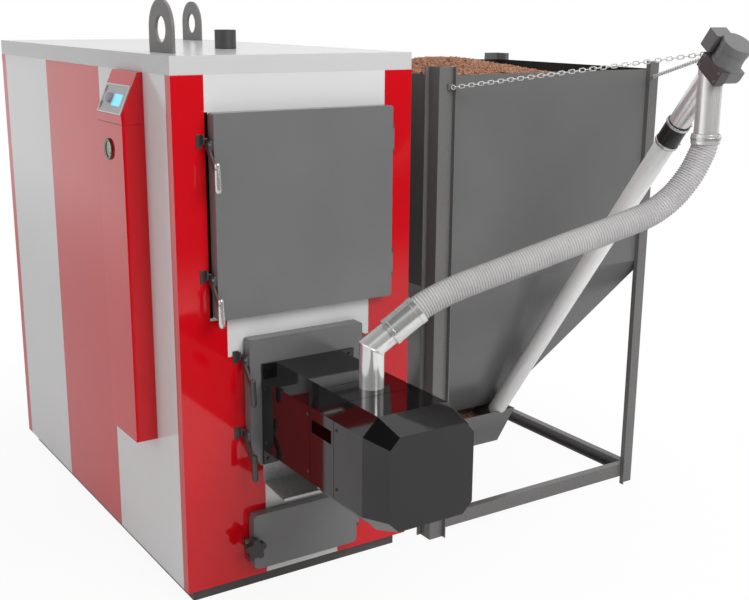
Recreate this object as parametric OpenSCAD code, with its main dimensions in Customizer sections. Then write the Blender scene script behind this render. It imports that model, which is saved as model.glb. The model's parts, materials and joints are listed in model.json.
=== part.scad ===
// Pellet boiler with a swing-out pellet burner, an inclined auger and a pellet hopper.
// Millimetres, +Z up. The origin is the middle of the boiler's base on the floor, and -Y is the front.
// Positions "from the front" count backwards from the plane of the boiler's front panel.

/* [Boiler casing] */
// Width of the boiler over its side panels
boiler_w = 700; // [680:10:800]
// Depth of the boiler from front panel to back panel
boiler_d = 1445; // [1400:5:1600]
// Height of the boiler to the top of its lid
boiler_h = 1450; // [1440:5:1600]
// Height of the lid's skirt
lid_skirt = 46; // [30:1:60]
// Thickness of the casing sheet
sheet = 2; // [1.5:0.5:3]
// Thickness of the red trim sheet
trim_t = 1.5; // [1:0.5:2.5]
// Width of the casing's folded edges
fold = 40; // [36:1:44]
// Height of the plinth
plinth_h = 40; // [30:5:60]
// How far the plinth stands back from the casing
plinth_inset = 25; // [15:5:30]
// Width of the plinth's rails
plinth_rail = 80; // [50:5:120]
// Depth of the red corner trims along the sides
corner_trim = 30; // [20:5:40]
// Start of the side stripe from the front
stripe_y = 492; // [460:4:520]
// Width of the side stripe
stripe_w = 466; // [300:2:600]

/* [Pressure vessel] */
// Space between the side panels and the vessel
side_space = 60; // [55:1:80]
// Distance of the vessel's front plate from the front panel
plate_y = 44; // [42:1:60]
// Thickness of the front plate
plate_t = 6; // [4:1:10]
// Wall of the vessel's shell
shell_t = 6; // [4:1:10]
// Space between the lid's top and the vessel's roof
roof_space = 110; // [90:5:140]
// Space between the vessel and the back panel
back_space = 58; // [50:2:80]
// Thickness of the insulation on the sides, roof and back
wool_t = 46; // [20:1:48]
// Outer width of the firebox
firebox_w = 372; // [320:2:440]
// Height of the firebox's roof above the floor
firebox_top = 730; // [710:5:760]
// Depth of the firebox
firebox_d = 1090; // [900:10:1150]
// Height of the grate above the floor
grate_z = 212; // [205:1:240]
// Outer diameter of a fire tube
tube_od = 57; // [44:1:60]
// Wall of a fire tube
tube_wall = 3; // [2:0.5:4]
// Spacing of the fire tubes
tube_pitch = 72; // [66:1:74]
// Length of the front smoke chamber behind the front plate
smoke_d = 110; // [80:5:160]
// Length of the rear flue box
flue_box_d = 170; // [120:5:220]
// Diameter of the flue spigot
flue_dia = 200; // [150:5:250]
// Height of the flue's middle above the floor
flue_z = 1110; // [1090:5:1130]
// Length of the flue spigot behind the back panel
flue_len = 118; // [60:2:200]

/* [Water connections and lifting eyes] */
// Diameter of the flow and return spigots
spigot_dia = 60.3; // [48.3:0.1:76.1]
// Height of the flow spigot above the lid
flow_h = 52; // [30:1:100]
// Distance of the flow spigot from the front
flow_y = 420; // [380:5:500]
// Height of the return spigot above the floor
return_z = 260; // [200:5:320]
// Sideways place of the return spigot
return_x = -150; // [-180:5:-120]
// Diameter of the drain spigot
drain_dia = 26.9; // [21.3:0.1:33.7]
// Height of the drain spigot above the floor
drain_z = 110; // [90:5:130]
// Length of the return and drain spigots behind the back panel
back_spigot = 55; // [40:1:90]
// Radius of a lifting eye's round top
eye_r = 75; // [60:1:80]
// Thickness of a lifting eye
eye_t = 8; // [6:1:12]
// Diameter of a lifting eye's hole
eye_hole = 68; // [50:1:80]
// Height of the hole's middle above the lid
eye_h = 58; // [45:1:80]
// Distance of the front eye's middle from the front
eye_front_y = 206; // [180:2:240]
// Distance of the rear eye's middle from the back
eye_back_y = 171; // [160:1:200]
// Distance of the eyes from the middle of the boiler
eye_x = 280; // [240:2:282]

/* [Doors] */
// Thickness of a door pan
door_t = 34; // [32:1:40]
// Thickness of the ash door's pan
ash_door_t = 30; // [30:1:36]
// Thickness of a door's face
door_face = 5; // [3:1:6]
// Thickness of a door's rim
door_rim = 4; // [3:0.5:6]
// Gap between a door's back edge and the front panel
door_gap = 4; // [4:0.5:6]
// How far a door frame's outside lies inside the door's edge
frame_inset = 23; // [20:1:26]
// Wall of a door frame
frame_t = 9; // [6:1:10]
// How far the door frames stand out of the front panel
frame_out = 8; // [7:0.5:9]
// Width of the rope seal
rope_w = 12; // [10:1:14]
// Play between a door's plug and its frame
plug_gap = 3; // [2.5:0.5:5]
// Width of the upper door
upper_w = 524; // [500:2:540]
// Height of the upper door
upper_h = 521; // [500:1:530]
// Bottom of the upper door above the floor
upper_z = 793; // [790:1:800]
// Sideways place of the upper door's middle
upper_x = 5; // [-5:1:8]
// Radius of the upper door's corners
upper_r = 8; // [6:1:16]
// Width of the burner door
burner_door_w = 345; // [335:1:350]
// Height of the burner door
burner_door_h = 353; // [353:1:356]
// Bottom of the burner door above the floor
burner_door_z = 377; // [372:1:377]
// Width of the burner door's cut lower corners
cut_w = 27; // [10:1:27]
// Height of the burner door's cut lower corners
cut_h = 53; // [20:1:53]
// Width of the ash door
ash_w = 327; // [310:1:330]
// Height of the ash door
ash_h = 159; // [150:1:165]
// Bottom of the ash door above the floor
ash_z = 74; // [70:1:80]
// Sideways place of the ash door's middle
ash_x = -4.5; // [-8:0.5:0]
// Radius of the ash door's corners
ash_r = 15; // [8:1:18]

/* [Hinges and latches] */
// Distance of a hinge axis from the door's edge
hinge_off = 10; // [10:0.5:12]
// Distance of a hinge axis in front of the front panel
hinge_y = 14; // [14:0.5:15]
// Radius of a hinge knuckle
knuckle_r = 9; // [8:0.5:9.5]
// Radius of a hinge pin
pin_r = 5; // [4:0.5:6]
// Length of a hinge knuckle
knuckle_l = 56; // [30:1:70]
// Thickness of the hinge lugs
lug_t = 10; // [6:1:14]
// Radial running clearance of pins and shafts
run = 0.06; // [0.02:0.01:0.09]
// Distance of a latch pivot in front of the front panel
latch_y = 20; // [19:0.5:22]
// Thickness of a latch lever
latch_t = 6; // [4:0.5:8]
// Radius of a latch lever's hub
latch_hub = 11; // [9:0.5:12]
// Radius of a latch pin
latch_pin = 4; // [3:0.5:5]
// Drop of the latch arm from its pivot to the grip
latch_drop = 52; // [40:1:60]
// How far the grip stands in front of the pivot
latch_reach = 42; // [34:1:50]
// Length of a latch grip
grip_l = 62; // [50:1:80]
// Radius of a latch grip
grip_r = 7.5; // [6:0.5:9]
// Outer radius of the star knob
star_r = 31; // [26:1:34]
// Depth of the star knob
star_t = 20; // [16:1:26]

/* [Burner] */
// Width and height of the burner's body
burner_w = 280; // [260:2:290]
// Width of the cut corners of the burner's body
burner_cut = 42; // [34:1:50]
// Height of the burner's middle above the floor
burner_z = 522; // [520:1:530]
// Thickness of the burner's flange
flange_t = 8; // [6:1:12]
// Wall of the burner's covers
cover_t = 3; // [2:0.5:4]
// Length of the burner's rear body
rear_l = 247; // [200:1:260]
// Length of the burner's middle body
mid_l = 113; // [100:1:130]
// Length of the straight part of the hood
hood_l = 126; // [118:1:140]
// Length of the hood's bevelled nose
nose_l = 80; // [60:1:100]
// Width of the hood's front face
nose_w = 236; // [210:2:250]
// Height of the hood's front face
nose_h = 230; // [210:2:250]
// Outer diameter of the flame tube
flame_od = 170; // [150:2:180]
// Wall of the flame tube
flame_wall = 5; // [3:0.5:6]
// Length of the flame tube behind the front panel
flame_in = 130; // [100:5:140]
// Diameter of the burner's fan
fan_dia = 150; // [110:5:190]
// Number of fan blades
fan_blades = 10; // [6:1:12]
// Diameter of the burner's fan motor
fan_motor_dia = 90; // [60:2:120]
// Width of the shelf under the burner
shelf_w = 278; // [240:2:290]
// Reach of the shelf in front of the door
shelf_reach = 115; // [80:1:140]

/* [Pellet feed] */
// Outer diameter of the feed pipes
pipe_od = 62; // [58:0.5:64]
// Wall of the feed pipes
pipe_wall = 2; // [1.5:0.5:3]
// Sideways place of the burner's inlet pipe
inlet_x = 5; // [-10:1:10]
// Distance of the inlet pipe in front of the front panel
inlet_y = 345; // [335:1:355]
// Height of the inlet pipe's bend above the burner
inlet_rise = 101; // [90:1:120]
// Rise of the inlet elbow in degrees
elbow_rise = 37; // [30:1:45]
// How far the inlet's turn stands out of its pipe
turn_bulge = 0.8; // [0.4:0.1:1.5]
// Outer diameter of the hose cuff
cuff_od = 74; // [73:0.5:80]
// Length of the hose cuff
cuff_l = 92; // [80:1:110]
// Outer diameter of the hose over its ribs
hose_od = 68; // [62:1:70]
// Depth of the hose's grooves
rib_depth = 2.5; // [1:0.5:3]
// Spacing of the hose's ribs
rib_pitch = 7; // [6:0.5:12]
// Radius of the hose's bore
hose_bore = 29.5; // [26:0.5:30]
// Outer diameter of the auger tube
auger_od = 56; // [52:1:58]
// Wall of the auger tube
auger_wall = 2; // [1.5:0.5:3]
// Rise of the auger in degrees
auger_rise = 52.9; // [52:0.1:54]
// Turn of the auger away from straight forward, in degrees
auger_yaw = 5.5; // [4.5:0.5:6.5]
// Length of the auger tube from its foot to the gearbox
auger_l = 1487; // [1450:1:1520]
// Distance of the tube coupling from the foot
joint_at = 1281; // [1200:1:1300]
// Length of the coupling sleeve
sleeve_l = 76; // [70:1:100]
// Diameter of the screw
screw_dia = 48; // [40:1:50]
// Pitch of the screw
screw_pitch = 50; // [40:1:80]
// How far the screw stands out of the tube's foot
screw_out = 22; // [15:1:26]
// Diameter of the screw's shaft
shaft_dia = 16; // [12:1:20]
// Height of the drop pipe's lower end above the floor
drop_z = 1262; // [1240:1:1280]
// Distance of the drop pipe from the auger's foot, in plan
drop_run = 895; // [890:1:900]
// Width of the gearbox
gear_w = 77; // [70:1:90]
// Length of the gearbox along the auger
gear_l = 46; // [40:1:60]
// Diameter of the auger motor
motor_dia = 76; // [60:1:90]
// Length of the auger motor
motor_l = 62; // [60:1:110]

/* [Hopper] */
// Gap between the boiler's side and the hopper's posts
hopper_gap = 80; // [60:5:120]
// Width of the hopper over its posts
hopper_w = 850; // [800:5:900]
// Depth of the hopper over its posts
hopper_d = 800; // [780:5:900]
// How far the posts stand in front of the boiler
hopper_fwd = 20; // [18:1:30]
// Height of the posts
post_h = 1410; // [1400:1:1500]
// Width of a post's flanges
post_w = 50; // [40:1:60]
// Thickness of a post
post_t = 3; // [2:0.5:4]
// How far the lips on a post's edges stand out
post_lip = 13; // [8:1:18]
// Height of the hopper's rim
rim_z = 1387; // [1380:1:1400]
// Height of the crease where the funnel starts
crease_z = 778; // [760:1:800]
// Sheet of the hopper
hopper_t = 2.5; // [2:0.5:3]
// Height of the funnel's outlet above the floor
outlet_z = 237; // [236:1:245]
// Width of the outlet
outlet_w = 250; // [240:1:280]
// Distance of the outlet's front edge from the boiler's front
outlet_y = 331; // [326:1:340]
// Depth of the outlet
outlet_d = 99; // [80:1:120]
// Bottom of the trough above the floor
trough_z = 133; // [125:1:136]
// Width of the trough's bottom
trough_w = 108; // [100:1:120]
// Distance of the trough's front wall from the boiler's front
trough_y = 253; // [245:1:258]
// Height of the bars between the posts
bar_h = 44; // [30:1:60]
// Depth of the bars
bar_d = 25; // [20:1:40]
// Height of the bars' lower edge above the floor
bar_z = 25; // [10:1:50]
// Height of the pellets at the top of their heap
heap_z = 1416; // [1400:1:1425]
// Slope of the heap in degrees
heap_slope = 9; // [8:1:14]
// Depth of the pellets in the trough
trough_fill = 42; // [20:1:48]

/* [Chains] */
// Spacing of the chain links
link_pitch = 14; // [12:0.5:18]
// Wire of the chain
link_wire = 2.8; // [2:0.2:3.4]
// Outer width of a chain link
link_w = 12; // [10.5:0.5:14]
// Play between two links
link_play = 0.3; // [0.2:0.05:0.6]

/* [Console] */
// Distance of the console's front face from the boiler's front
console_y = 172; // [160:1:180]
// Depth of the console along the boiler's side
console_d = 176; // [174:2:220]
// How far the console stands out of the side panel
console_out = 60; // [50:1:70]
// Bottom of the console above the floor
console_z = 427; // [400:1:460]
// Height of the seam between console box and head
head_z = 1274; // [1260:1:1280]
// Height of the head's lip above the seam
lip_h = 21; // [15:1:30]
// Distance of the head's top edge from the side panel
head_top_out = 14; // [8:1:24]
// Length of the fascia along the console
fascia_w = 160; // [150:1:170]
// Height of the fascia along the slope
fascia_h = 78; // [70:1:84]
// Thickness of the fascia
fascia_t = 3; // [2:0.5:4]
// Diameter of the control knob
knob_dia = 26; // [20:1:28]
// Diameter of the gauge
gauge_dia = 55; // [50:1:70]
// Height of the gauge's middle above the floor
gauge_z = 1206; // [1190:1:1220]

/* [Hidden] */
$fn = 48;
fit = 0.3;
front = -boiler_d / 2;
half_w = boiler_w / 2;
lid_z = boiler_h - lid_skirt;
shell_x = half_w - side_space;
shell_top = boiler_h - roof_space;
shell_y = plate_y + plate_t;
shell_back = boiler_d - back_space;

// A door as [x0, x1, z0, z1, corner radius, cut width, cut height, thickness]
upper = [upper_x - upper_w / 2, upper_x + upper_w / 2, upper_z, upper_z + upper_h, upper_r, 0, 0, door_t];
burner_door_box = [-burner_door_w / 2, burner_door_w / 2, burner_door_z, burner_door_z + burner_door_h,
                   upper_r, cut_w, cut_h, door_t];
ash = [ash_x - ash_w / 2, ash_x + ash_w / 2, ash_z, ash_z + ash_h, ash_r, 0, 0, ash_door_t];
doors = [upper, burner_door_box, ash];
frame_in = frame_inset + frame_t;
hinge_zs = [[upper_z + 62, upper_z + upper_h - 62 - knuckle_l],
            [burner_door_z + 78, burner_door_z + burner_door_h - 50 - knuckle_l],
            [ash_z + ash_h / 2 - knuckle_l / 2]];
upper_latch_zs = [upper_z + upper_h - 79, upper_z + 102];
burner_latch_zs = [burner_door_z + burner_door_h - 60, burner_door_z + 83];
grip_offset = 4;
keeper_gap = 1;
star_x = ash[0] - 9;
star_z = ash_z + ash_h / 2 - 4;

// Heights and lengths inside the vessel
ash_floor = ash[2] + frame_in;
firebox_z = ash_floor - shell_t;
smoke = [upper[0] + frame_in, upper[1] - frame_in, upper[2] + frame_in, upper[3] - frame_in];
sheet_y = shell_y + smoke_d;
rear_sheet_y = shell_back - flue_box_d;
turn_z = smoke[2] + 2 * tube_pitch + 14;
tube_x0 = (smoke[0] + smoke[1]) / 2 - 2.5 * tube_pitch;
tube_z0 = (smoke[2] + smoke[3]) / 2 - 2.5 * tube_pitch;

// Burner stations, as distances in front of the front panel
door_front = door_gap + door_t;
flange_y = door_front + flange_t;
mid_y = door_front + rear_l + flange_t;
hood_y = mid_y + mid_l;
nose_y = hood_y + hood_l;
burner_front = nose_y + nose_l;
burner_top = burner_z + burner_w / 2;
flame_out = 110;
igniter_drop = 55;
chute_z = burner_z + 24;

// Auger frame: the foot on its axis, and its direction
foot = [half_w + hopper_gap + hopper_w / 2 + 73, front + 288, 230];
auger_plan = [-sin(auger_yaw), -cos(auger_yaw), 0];
auger_up = [auger_plan.x * cos(auger_rise), auger_plan.y * cos(auger_rise), sin(auger_rise)];
auger_side = [cos(auger_yaw), -sin(auger_yaw), 0];
auger_back = [-auger_plan.x * sin(auger_rise), -auger_plan.y * sin(auger_rise), cos(auger_rise)];
drop = [foot.x + drop_run * auger_plan.x, foot.y + drop_run * auger_plan.y, drop_z];
gear_under = 60;
gear_over = 22;

// Feed elbow and hose: route points are [distance from the inlet in plan, height]
inlet = [inlet_x, front - inlet_y, burner_top + inlet_rise];
feed_plan = [drop.x - inlet.x, drop.y - inlet.y] / norm([drop.x - inlet.x, drop.y - inlet.y]);
feed_run = norm([drop.x - inlet.x, drop.y - inlet.y]);
elbow_dir = [cos(elbow_rise), sin(elbow_rise)];
elbow_v = [feed_plan.x * cos(elbow_rise), feed_plan.y * cos(elbow_rise), sin(elbow_rise)];
elbow_l = 80;
cuff_from = 56;
hose_start = [0, inlet.z] + (elbow_l + fit) * elbow_dir;
hose_end = [feed_run, drop_z - fit];
hose_middle = [[172, 881], [225, 902], [277, 919], [329, 935], [382, 952], [435, 968], [488, 985], [542, 1001],
               [597, 1017], [651, 1034], [706, 1052], [739, 1066], [767, 1083], [796, 1106], [822, 1134], [851, 1166]];
hose_points = concat([hose_start, hose_start + hose_od * elbow_dir], hose_middle,
                     [hose_end - [0, hose_od], hose_end]);

// Hopper corners
hx0 = half_w + hopper_gap;
hx1 = hx0 + hopper_w;
hy0 = front - hopper_fwd;
hy1 = hy0 + hopper_d;
outlet_x0 = (hx0 + hx1 - outlet_w) / 2;
outlet_y0 = front + outlet_y;
trough_x = (hx0 + hx1) / 2;
heap_at = [hx0 + 210, front + 250];
heap_top = 60;
heap_run = 800;

// Console
console_x = -half_w - console_out;
console_y1 = console_y + console_d;
lip_z = head_z + 2 + lip_h;
lip_x = console_x - 1;
slope_angle = atan((console_out + 1 - head_top_out) / (lid_z - lip_z));
gauge_y = console_y + 97;
fascia_y = console_y + 5;
display_w = 58;
display_h = 32;
display_in = 22;
display_up = 22;
knob_at = [fascia_y + 102, 41];
knob_h = 8;
gauge_deep = 20;
dial_deep = 8;

// Shared helpers

// A box between two corners
module box(x0, x1, y0, y1, z0, z1) {
    translate([x0, y0, z0]) cube([x1 - x0, y1 - y0, z1 - z0]);
}

// Places its children with y counted from the front panel
module fronted() {
    translate([0, front, 0]) children();
}

// Extrudes a profile drawn in x and z from y0 to y1
module along_y(y0, y1) {
    translate([0, y1, 0]) rotate([90, 0, 0]) linear_extrude(y1 - y0) children();
}

// Extrudes a profile drawn in y and z from x0 to x1
module along_x(x0, x1) {
    translate([x0, 0, 0]) rotate([90, 0, 90]) linear_extrude(x1 - x0) children();
}

// Turns its children so that their z axis runs along v, starting at p
module aimed(p, v) {
    translate(p) rotate([0, acos(v.z / norm(v)), atan2(v.y, v.x)]) children();
}

// A round rod from p to q
module rod(p, q, r) {
    aimed(p, q - p) cylinder(r = r, h = norm(q - p));
}

// A rectangle with round corners
module rounded(x0, x1, z0, z1, r) {
    translate([x0 + r, z0]) square([x1 - x0 - 2 * r, z1 - z0]);
    translate([x0, z0 + r]) square([x1 - x0, z1 - z0 - 2 * r]);
    for (x = [x0 + r, x1 - r], z = [z0 + r, z1 - r]) translate([x, z]) circle(r);
}

// A ring between two radii
module ring(outer, inner, h) {
    difference() {
        cylinder(r = outer, h = h);
        translate([0, 0, -1]) cylinder(r = inner, h = h + 2);
    }
}

// Puts its children in the auger's frame: z up along its axis, y away from the boiler's front
module on_auger() {
    translate(foot) rotate([90 - auger_rise, 0, -auger_yaw]) children();
}

// Puts its children on the console's slope: x towards the boiler's front, y up the slope, z outwards
module on_slope() {
    translate([lip_x, front, lip_z]) rotate([90 - slope_angle, 0, -90]) children();
}

// Doors

// A door's outline, set in by a margin
module door_outline(d, margin) {
    reach = (d[5] == 0) ? 0 : 1 + margin * norm([1 / d[5], 1 / d[6]]);
    difference() {
        rounded(d[0] + margin, d[1] - margin, d[2] + margin, d[3] - margin, max(d[4] - margin, 1));
        if (d[5] > 0) {
            polygon([[d[0], d[2]], [d[0] + d[5] * reach, d[2]], [d[0], d[2] + d[6] * reach]]);
            polygon([[d[1], d[2]], [d[1], d[2] + d[6] * reach], [d[1] - d[5] * reach, d[2]]]);
        }
    }
}

// The rectangle inside a door's edges by a margin
module inset_square(d, margin) {
    translate([d[0] + margin, d[2] + margin]) square([d[1] - d[0] - 2 * margin, d[3] - d[2] - 2 * margin]);
}

// A folded door pan with its hinge knuckles
module door_pan(d, zs) {
    hx = d[1] + hinge_off;
    difference() {
        union() {
            along_y(-door_gap - d[7], -door_gap) door_outline(d, 0);
            for (z = zs) {
                translate([hx, -hinge_y, z]) cylinder(r = knuckle_r, h = knuckle_l);
                box(d[1] - 1, hx, -hinge_y - 3, -hinge_y + 3, z, z + knuckle_l);
            }
        }
        along_y(-door_gap - d[7] + door_face, 0) door_outline(d, door_rim);
        for (z = zs) translate([hx, -hinge_y, z - 1]) cylinder(r = pin_r + run, h = knuckle_l + 2);
    }
}

// The insulating board behind a door's face, with its plug
module door_board(d) {
    rope_back = -frame_out - fit - (rope_w - 2);
    along_y(-door_gap - d[7] + door_face, rope_back) door_outline(d, door_rim + fit);
    along_y(rope_back - 1, -door_gap + 2) inset_square(d, frame_in + plug_gap);
}

// The rope seal that meets the door frame's edge
module door_rope(d) {
    middle = frame_inset + frame_t / 2;
    along_y(-frame_out - rope_w + 2, -frame_out) difference() {
        inset_square(d, middle - rope_w / 2);
        inset_square(d, middle + rope_w / 2);
    }
}

// The ear on a door's edge that carries a latch
module latch_ear(d, z) {
    difference() {
        box(d[0] - 5, d[0] + 1, -latch_y - 8, -latch_y + 8, z - 12, z + 12);
        translate([d[0] - 6, -latch_y, z]) rotate([0, 90, 0]) cylinder(r = latch_pin + run, h = 5.5);
    }
}

// A latch lever that hangs from its pivot, with its pin, its nose and its grip
module latch(d, z) {
    x1 = d[0] - 5 - fit;
    x0 = x1 - latch_t;
    gx = x1 - latch_t / 2 + grip_offset;
    fronted() translate([0, -latch_y, z]) {
        translate([x0, 0, 0]) rotate([0, 90, 0]) cylinder(r = latch_hub, h = latch_t);
        translate([x1 - 1, 0, 0]) rotate([0, 90, 0]) cylinder(r = latch_pin, h = 5);
        box(x0, x1, 4, 10, 0, 12);
        along_x(x0, x1) polygon([[-8, -6], [7, -8], [-latch_reach + 9, -latch_drop - 6],
                                 [-latch_reach - 7, -latch_drop - 2]]);
        translate([gx, -latch_reach, -latch_drop + 8]) rotate([177, 0, 0]) {
            cylinder(r1 = grip_r - 1, r2 = grip_r, h = grip_l);
            translate([0, 0, grip_l]) sphere(grip_r);
            sphere(grip_r - 1);
        }
    }
}

// The keeper on the front panel that a latch's nose closes under
module keeper(d, z) {
    x1 = d[0] - 5 - fit;
    x0 = x1 - latch_t - 8;
    box(x0 - 12, x0 + 3, -trim_t - 2.5, -trim_t, z - 8, z + 26);
    box(x0, x0 + 3, -latch_y + 1, -trim_t - 2, z + 4, z + 26);
    translate([x0, -latch_y + 7, z + 12 + keeper_gap + 3]) rotate([0, 90, 0]) cylinder(r = 3, h = latch_t + 8);
}

// One hinge's lugs and pin on the front panel
module hinge_bracket(d, z) {
    hx = d[1] + hinge_off;
    translate([hx, -hinge_y, z - lug_t]) cylinder(r = pin_r, h = knuckle_l + 2 * lug_t);
    box(hx - knuckle_r, hx + knuckle_r, -trim_t - 3, -trim_t, z - lug_t, z + knuckle_l + lug_t);
    for (s = [z - lug_t, z + knuckle_l + fit]) {
        translate([hx, -hinge_y, s]) cylinder(r = knuckle_r, h = lug_t - fit);
        box(hx - knuckle_r, hx + knuckle_r, -hinge_y, -trim_t - 2, s, s + lug_t - fit);
    }
}

// Boiler body

module plinth() {
    x = half_w - plinth_inset;
    y = boiler_d / 2 - plinth_inset;
    color("#58524f") difference() {
        box(-x, x, -y, y, 0, plinth_h);
        for (s = [-1, 1]) {
            lo = (s < 0) ? -y + plinth_rail : plinth_rail / 2;
            hi = (s < 0) ? -plinth_rail / 2 : y - plinth_rail;
            box(-x + plinth_rail, x - plinth_rail, lo, hi, -1, plinth_h + 1);
        }
    }
}

module pressure_shell() {
    color("#4a4a4d") fronted() difference() {
        box(-shell_x, shell_x, shell_y, shell_back, plinth_h, shell_top);
        box(-shell_x + shell_t, shell_x - shell_t, shell_y - 1, shell_back - shell_t,
            plinth_h + shell_t, shell_top - shell_t);
        translate([0, flow_y, shell_top - shell_t - 1]) cylinder(r = spigot_dia / 2 - 5, h = shell_t + 2);
        for (p = [[return_x, return_z, spigot_dia / 2 - 5], [-return_x, drain_z, drain_dia / 2 - 4],
                  [0, flue_z, flue_dia / 2 - 4]])
            translate([p[0], shell_back + 1, p[1]]) rotate([90, 0, 0]) cylinder(r = p[2], h = shell_t + 2);
    }
}

// The front plate with the three door frames and the front smoke chamber with its tube sheet
module front_plate() {
    color("#55555a") fronted() difference() {
        union() {
            box(-shell_x, shell_x, plate_y, shell_y, plinth_h, shell_top);
            for (d = doors) along_y(-frame_out, shell_y) inset_square(d, frame_inset);
            along_y(shell_y - 1, sheet_y) inset_square(upper, frame_inset);
        }
        for (d = doors) along_y(-frame_out - 1, shell_y + 1) inset_square(d, frame_in);
        along_y(shell_y, sheet_y - 8) inset_square(upper, frame_in);
        for (i = [0 : 5], j = [0 : 5])
            translate([tube_x0 + i * tube_pitch, sheet_y + 1, tube_z0 + j * tube_pitch])
                rotate([90, 0, 0]) cylinder(r = tube_od / 2, h = 10);
    }
}

// The firebox with its grate, and the turning chamber that leads up to the lower tubes
module firebox() {
    x = firebox_w / 2;
    y1 = shell_y + firebox_d;
    turn_y = y1 - 150;
    color("#5c4f48") fronted() difference() {
        union() {
            box(-x, x, shell_y, y1, firebox_z, firebox_top);
            box(-x, x, turn_y, rear_sheet_y - 2, firebox_top - 1, turn_z);
        }
        difference() {
            box(-x + shell_t, x - shell_t, shell_y - 1, y1 - shell_t, ash_floor, firebox_top - shell_t);
            box(-x, x, shell_y, turn_y, grate_z, grate_z + shell_t);
        }
        box(-x + shell_t, x - shell_t, turn_y + shell_t, rear_sheet_y - 2 - shell_t,
            firebox_top - shell_t - 1, turn_z - shell_t);
        for (i = [0 : 7]) translate([-x + 40 + i * (firebox_w - 80) / 7 - 7, shell_y + 100, grate_z - 1])
            cube([14, turn_y - shell_y - 160, shell_t + 2]);
        for (i = [0 : 5], j = [0 : 1])
            if (abs(tube_x0 + i * tube_pitch) < x - tube_od / 2 - shell_t)
                translate([tube_x0 + i * tube_pitch, turn_y + shell_t + 1, tube_z0 + j * tube_pitch])
                    rotate([90, 0, 0]) cylinder(r = tube_od / 2 + fit, h = shell_t + 2);
    }
}

// Fire tubes from sheet to sheet, each with a flat turbulator strip
module fire_tubes() {
    x = firebox_w / 2;
    turn_y = shell_y + firebox_d - 150;
    color("#6a5f58") fronted()
        for (i = [0 : 5], j = [0 : 5]) {
            tx = tube_x0 + i * tube_pitch;
            y1 = (j < 2) ? turn_y - fit : rear_sheet_y;
            if (j > 1 || abs(tx) < x - tube_od / 2 - shell_t)
                translate([tx, sheet_y - 8, tube_z0 + j * tube_pitch]) rotate([-90, 0, 0]) {
                    ring(tube_od / 2, tube_od / 2 - tube_wall, y1 - sheet_y + 8);
                    translate([-tube_od / 2 + tube_wall, -1, -20])
                        cube([tube_od - 2 * tube_wall, 2, y1 - sheet_y - 60]);
                }
        }
}

// Mineral wool slabs between the vessel and the casing
module insulation() {
    z0 = plinth_h + sheet + 2;
    color("#c9b98a") fronted() {
        for (s = [-1, 1]) scale([s, 1, 1])
            box(shell_x, shell_x + wool_t, shell_y, shell_back, z0, shell_top);
        difference() {
            box(-shell_x, shell_x, shell_y, shell_back, shell_top, shell_top + wool_t);
            translate([0, flow_y, shell_top - 1]) cylinder(r = spigot_dia / 2, h = wool_t + 2);
            eye_slots(shell_top - 1, shell_top + wool_t + 1);
        }
        difference() {
            box(-shell_x, shell_x, shell_back, shell_back + wool_t - 4, z0, shell_top);
            back_holes(shell_back - 1, shell_back + wool_t + 1);
        }
        difference() {
            box(-shell_x, shell_x, sheet + 2, plate_y, z0, shell_top);
            for (d = doors) along_y(0, plate_y + 1) inset_square(d, frame_inset - 1);
        }
    }
}

// Slots for the lifting eyes, cut from z0 to z1
module eye_slots(z0, z1) {
    for (e = [[-eye_x, eye_front_y], [eye_x, boiler_d - eye_back_y]])
        box(e.x - eye_t / 2 - 1, e.x + eye_t / 2 + 1, e.y - eye_r - 1, e.y + eye_r + 1, z0, z1);
}

// Round holes for the flue, return and drain, cut from y0 to y1
module back_holes(y0, y1) {
    for (p = [[return_x, return_z, spigot_dia / 2 + 1.5], [-return_x, drain_z, drain_dia / 2 + 1.5],
              [0, flue_z, flue_dia / 2 + 2]])
        translate([p[0], y1, p[1]]) rotate([90, 0, 0]) cylinder(r = p[2], h = y1 - y0);
}

// A side panel with folded edges from y0 to y1; side is -1 for the left and 1 for the right
module side_panel(side, y0, y1) {
    mirror([side > 0 ? 1 : 0, 0, 0]) fronted() along_y(y0, y1) {
        translate([-half_w, plinth_h]) square([sheet, lid_z - plinth_h]);
        for (z = [plinth_h, lid_z - sheet]) translate([-half_w, z]) square([fold, sheet]);
    }
}

module casing_side(side) {
    side_panel(side, corner_trim, stripe_y);
    side_panel(side, stripe_y + stripe_w, boiler_d - fold);
}

module casing_left() {
    color("#d8d8d8") casing_side(-1);
}

module casing_right() {
    color("#d8d8d8") casing_side(1);
}

module side_stripes() {
    color("#b8232b") for (side = [-1, 1]) side_panel(side, stripe_y, stripe_y + stripe_w);
}

module casing_top() {
    color("#dedede") fronted() difference() {
        box(-half_w, half_w, 0, boiler_d, lid_z, boiler_h);
        box(-half_w + sheet, half_w - sheet, sheet, boiler_d - sheet, lid_z - 1, boiler_h - sheet);
        translate([0, flow_y, boiler_h - sheet - 1]) cylinder(r = spigot_dia / 2 + 1.5, h = sheet + 2);
        eye_slots(boiler_h - sheet - 1, boiler_h + 1);
    }
}

module casing_back() {
    x = half_w - trim_t;
    color("#d8d8d8") fronted() difference() {
        union() {
            box(-x, x, boiler_d - sheet, boiler_d, plinth_h, lid_z);
            box(-half_w + fold + 2, half_w - fold - 2, boiler_d - fold, boiler_d, plinth_h, plinth_h + sheet);
        }
        back_holes(boiler_d - sheet - 1, boiler_d + 1);
    }
}

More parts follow.
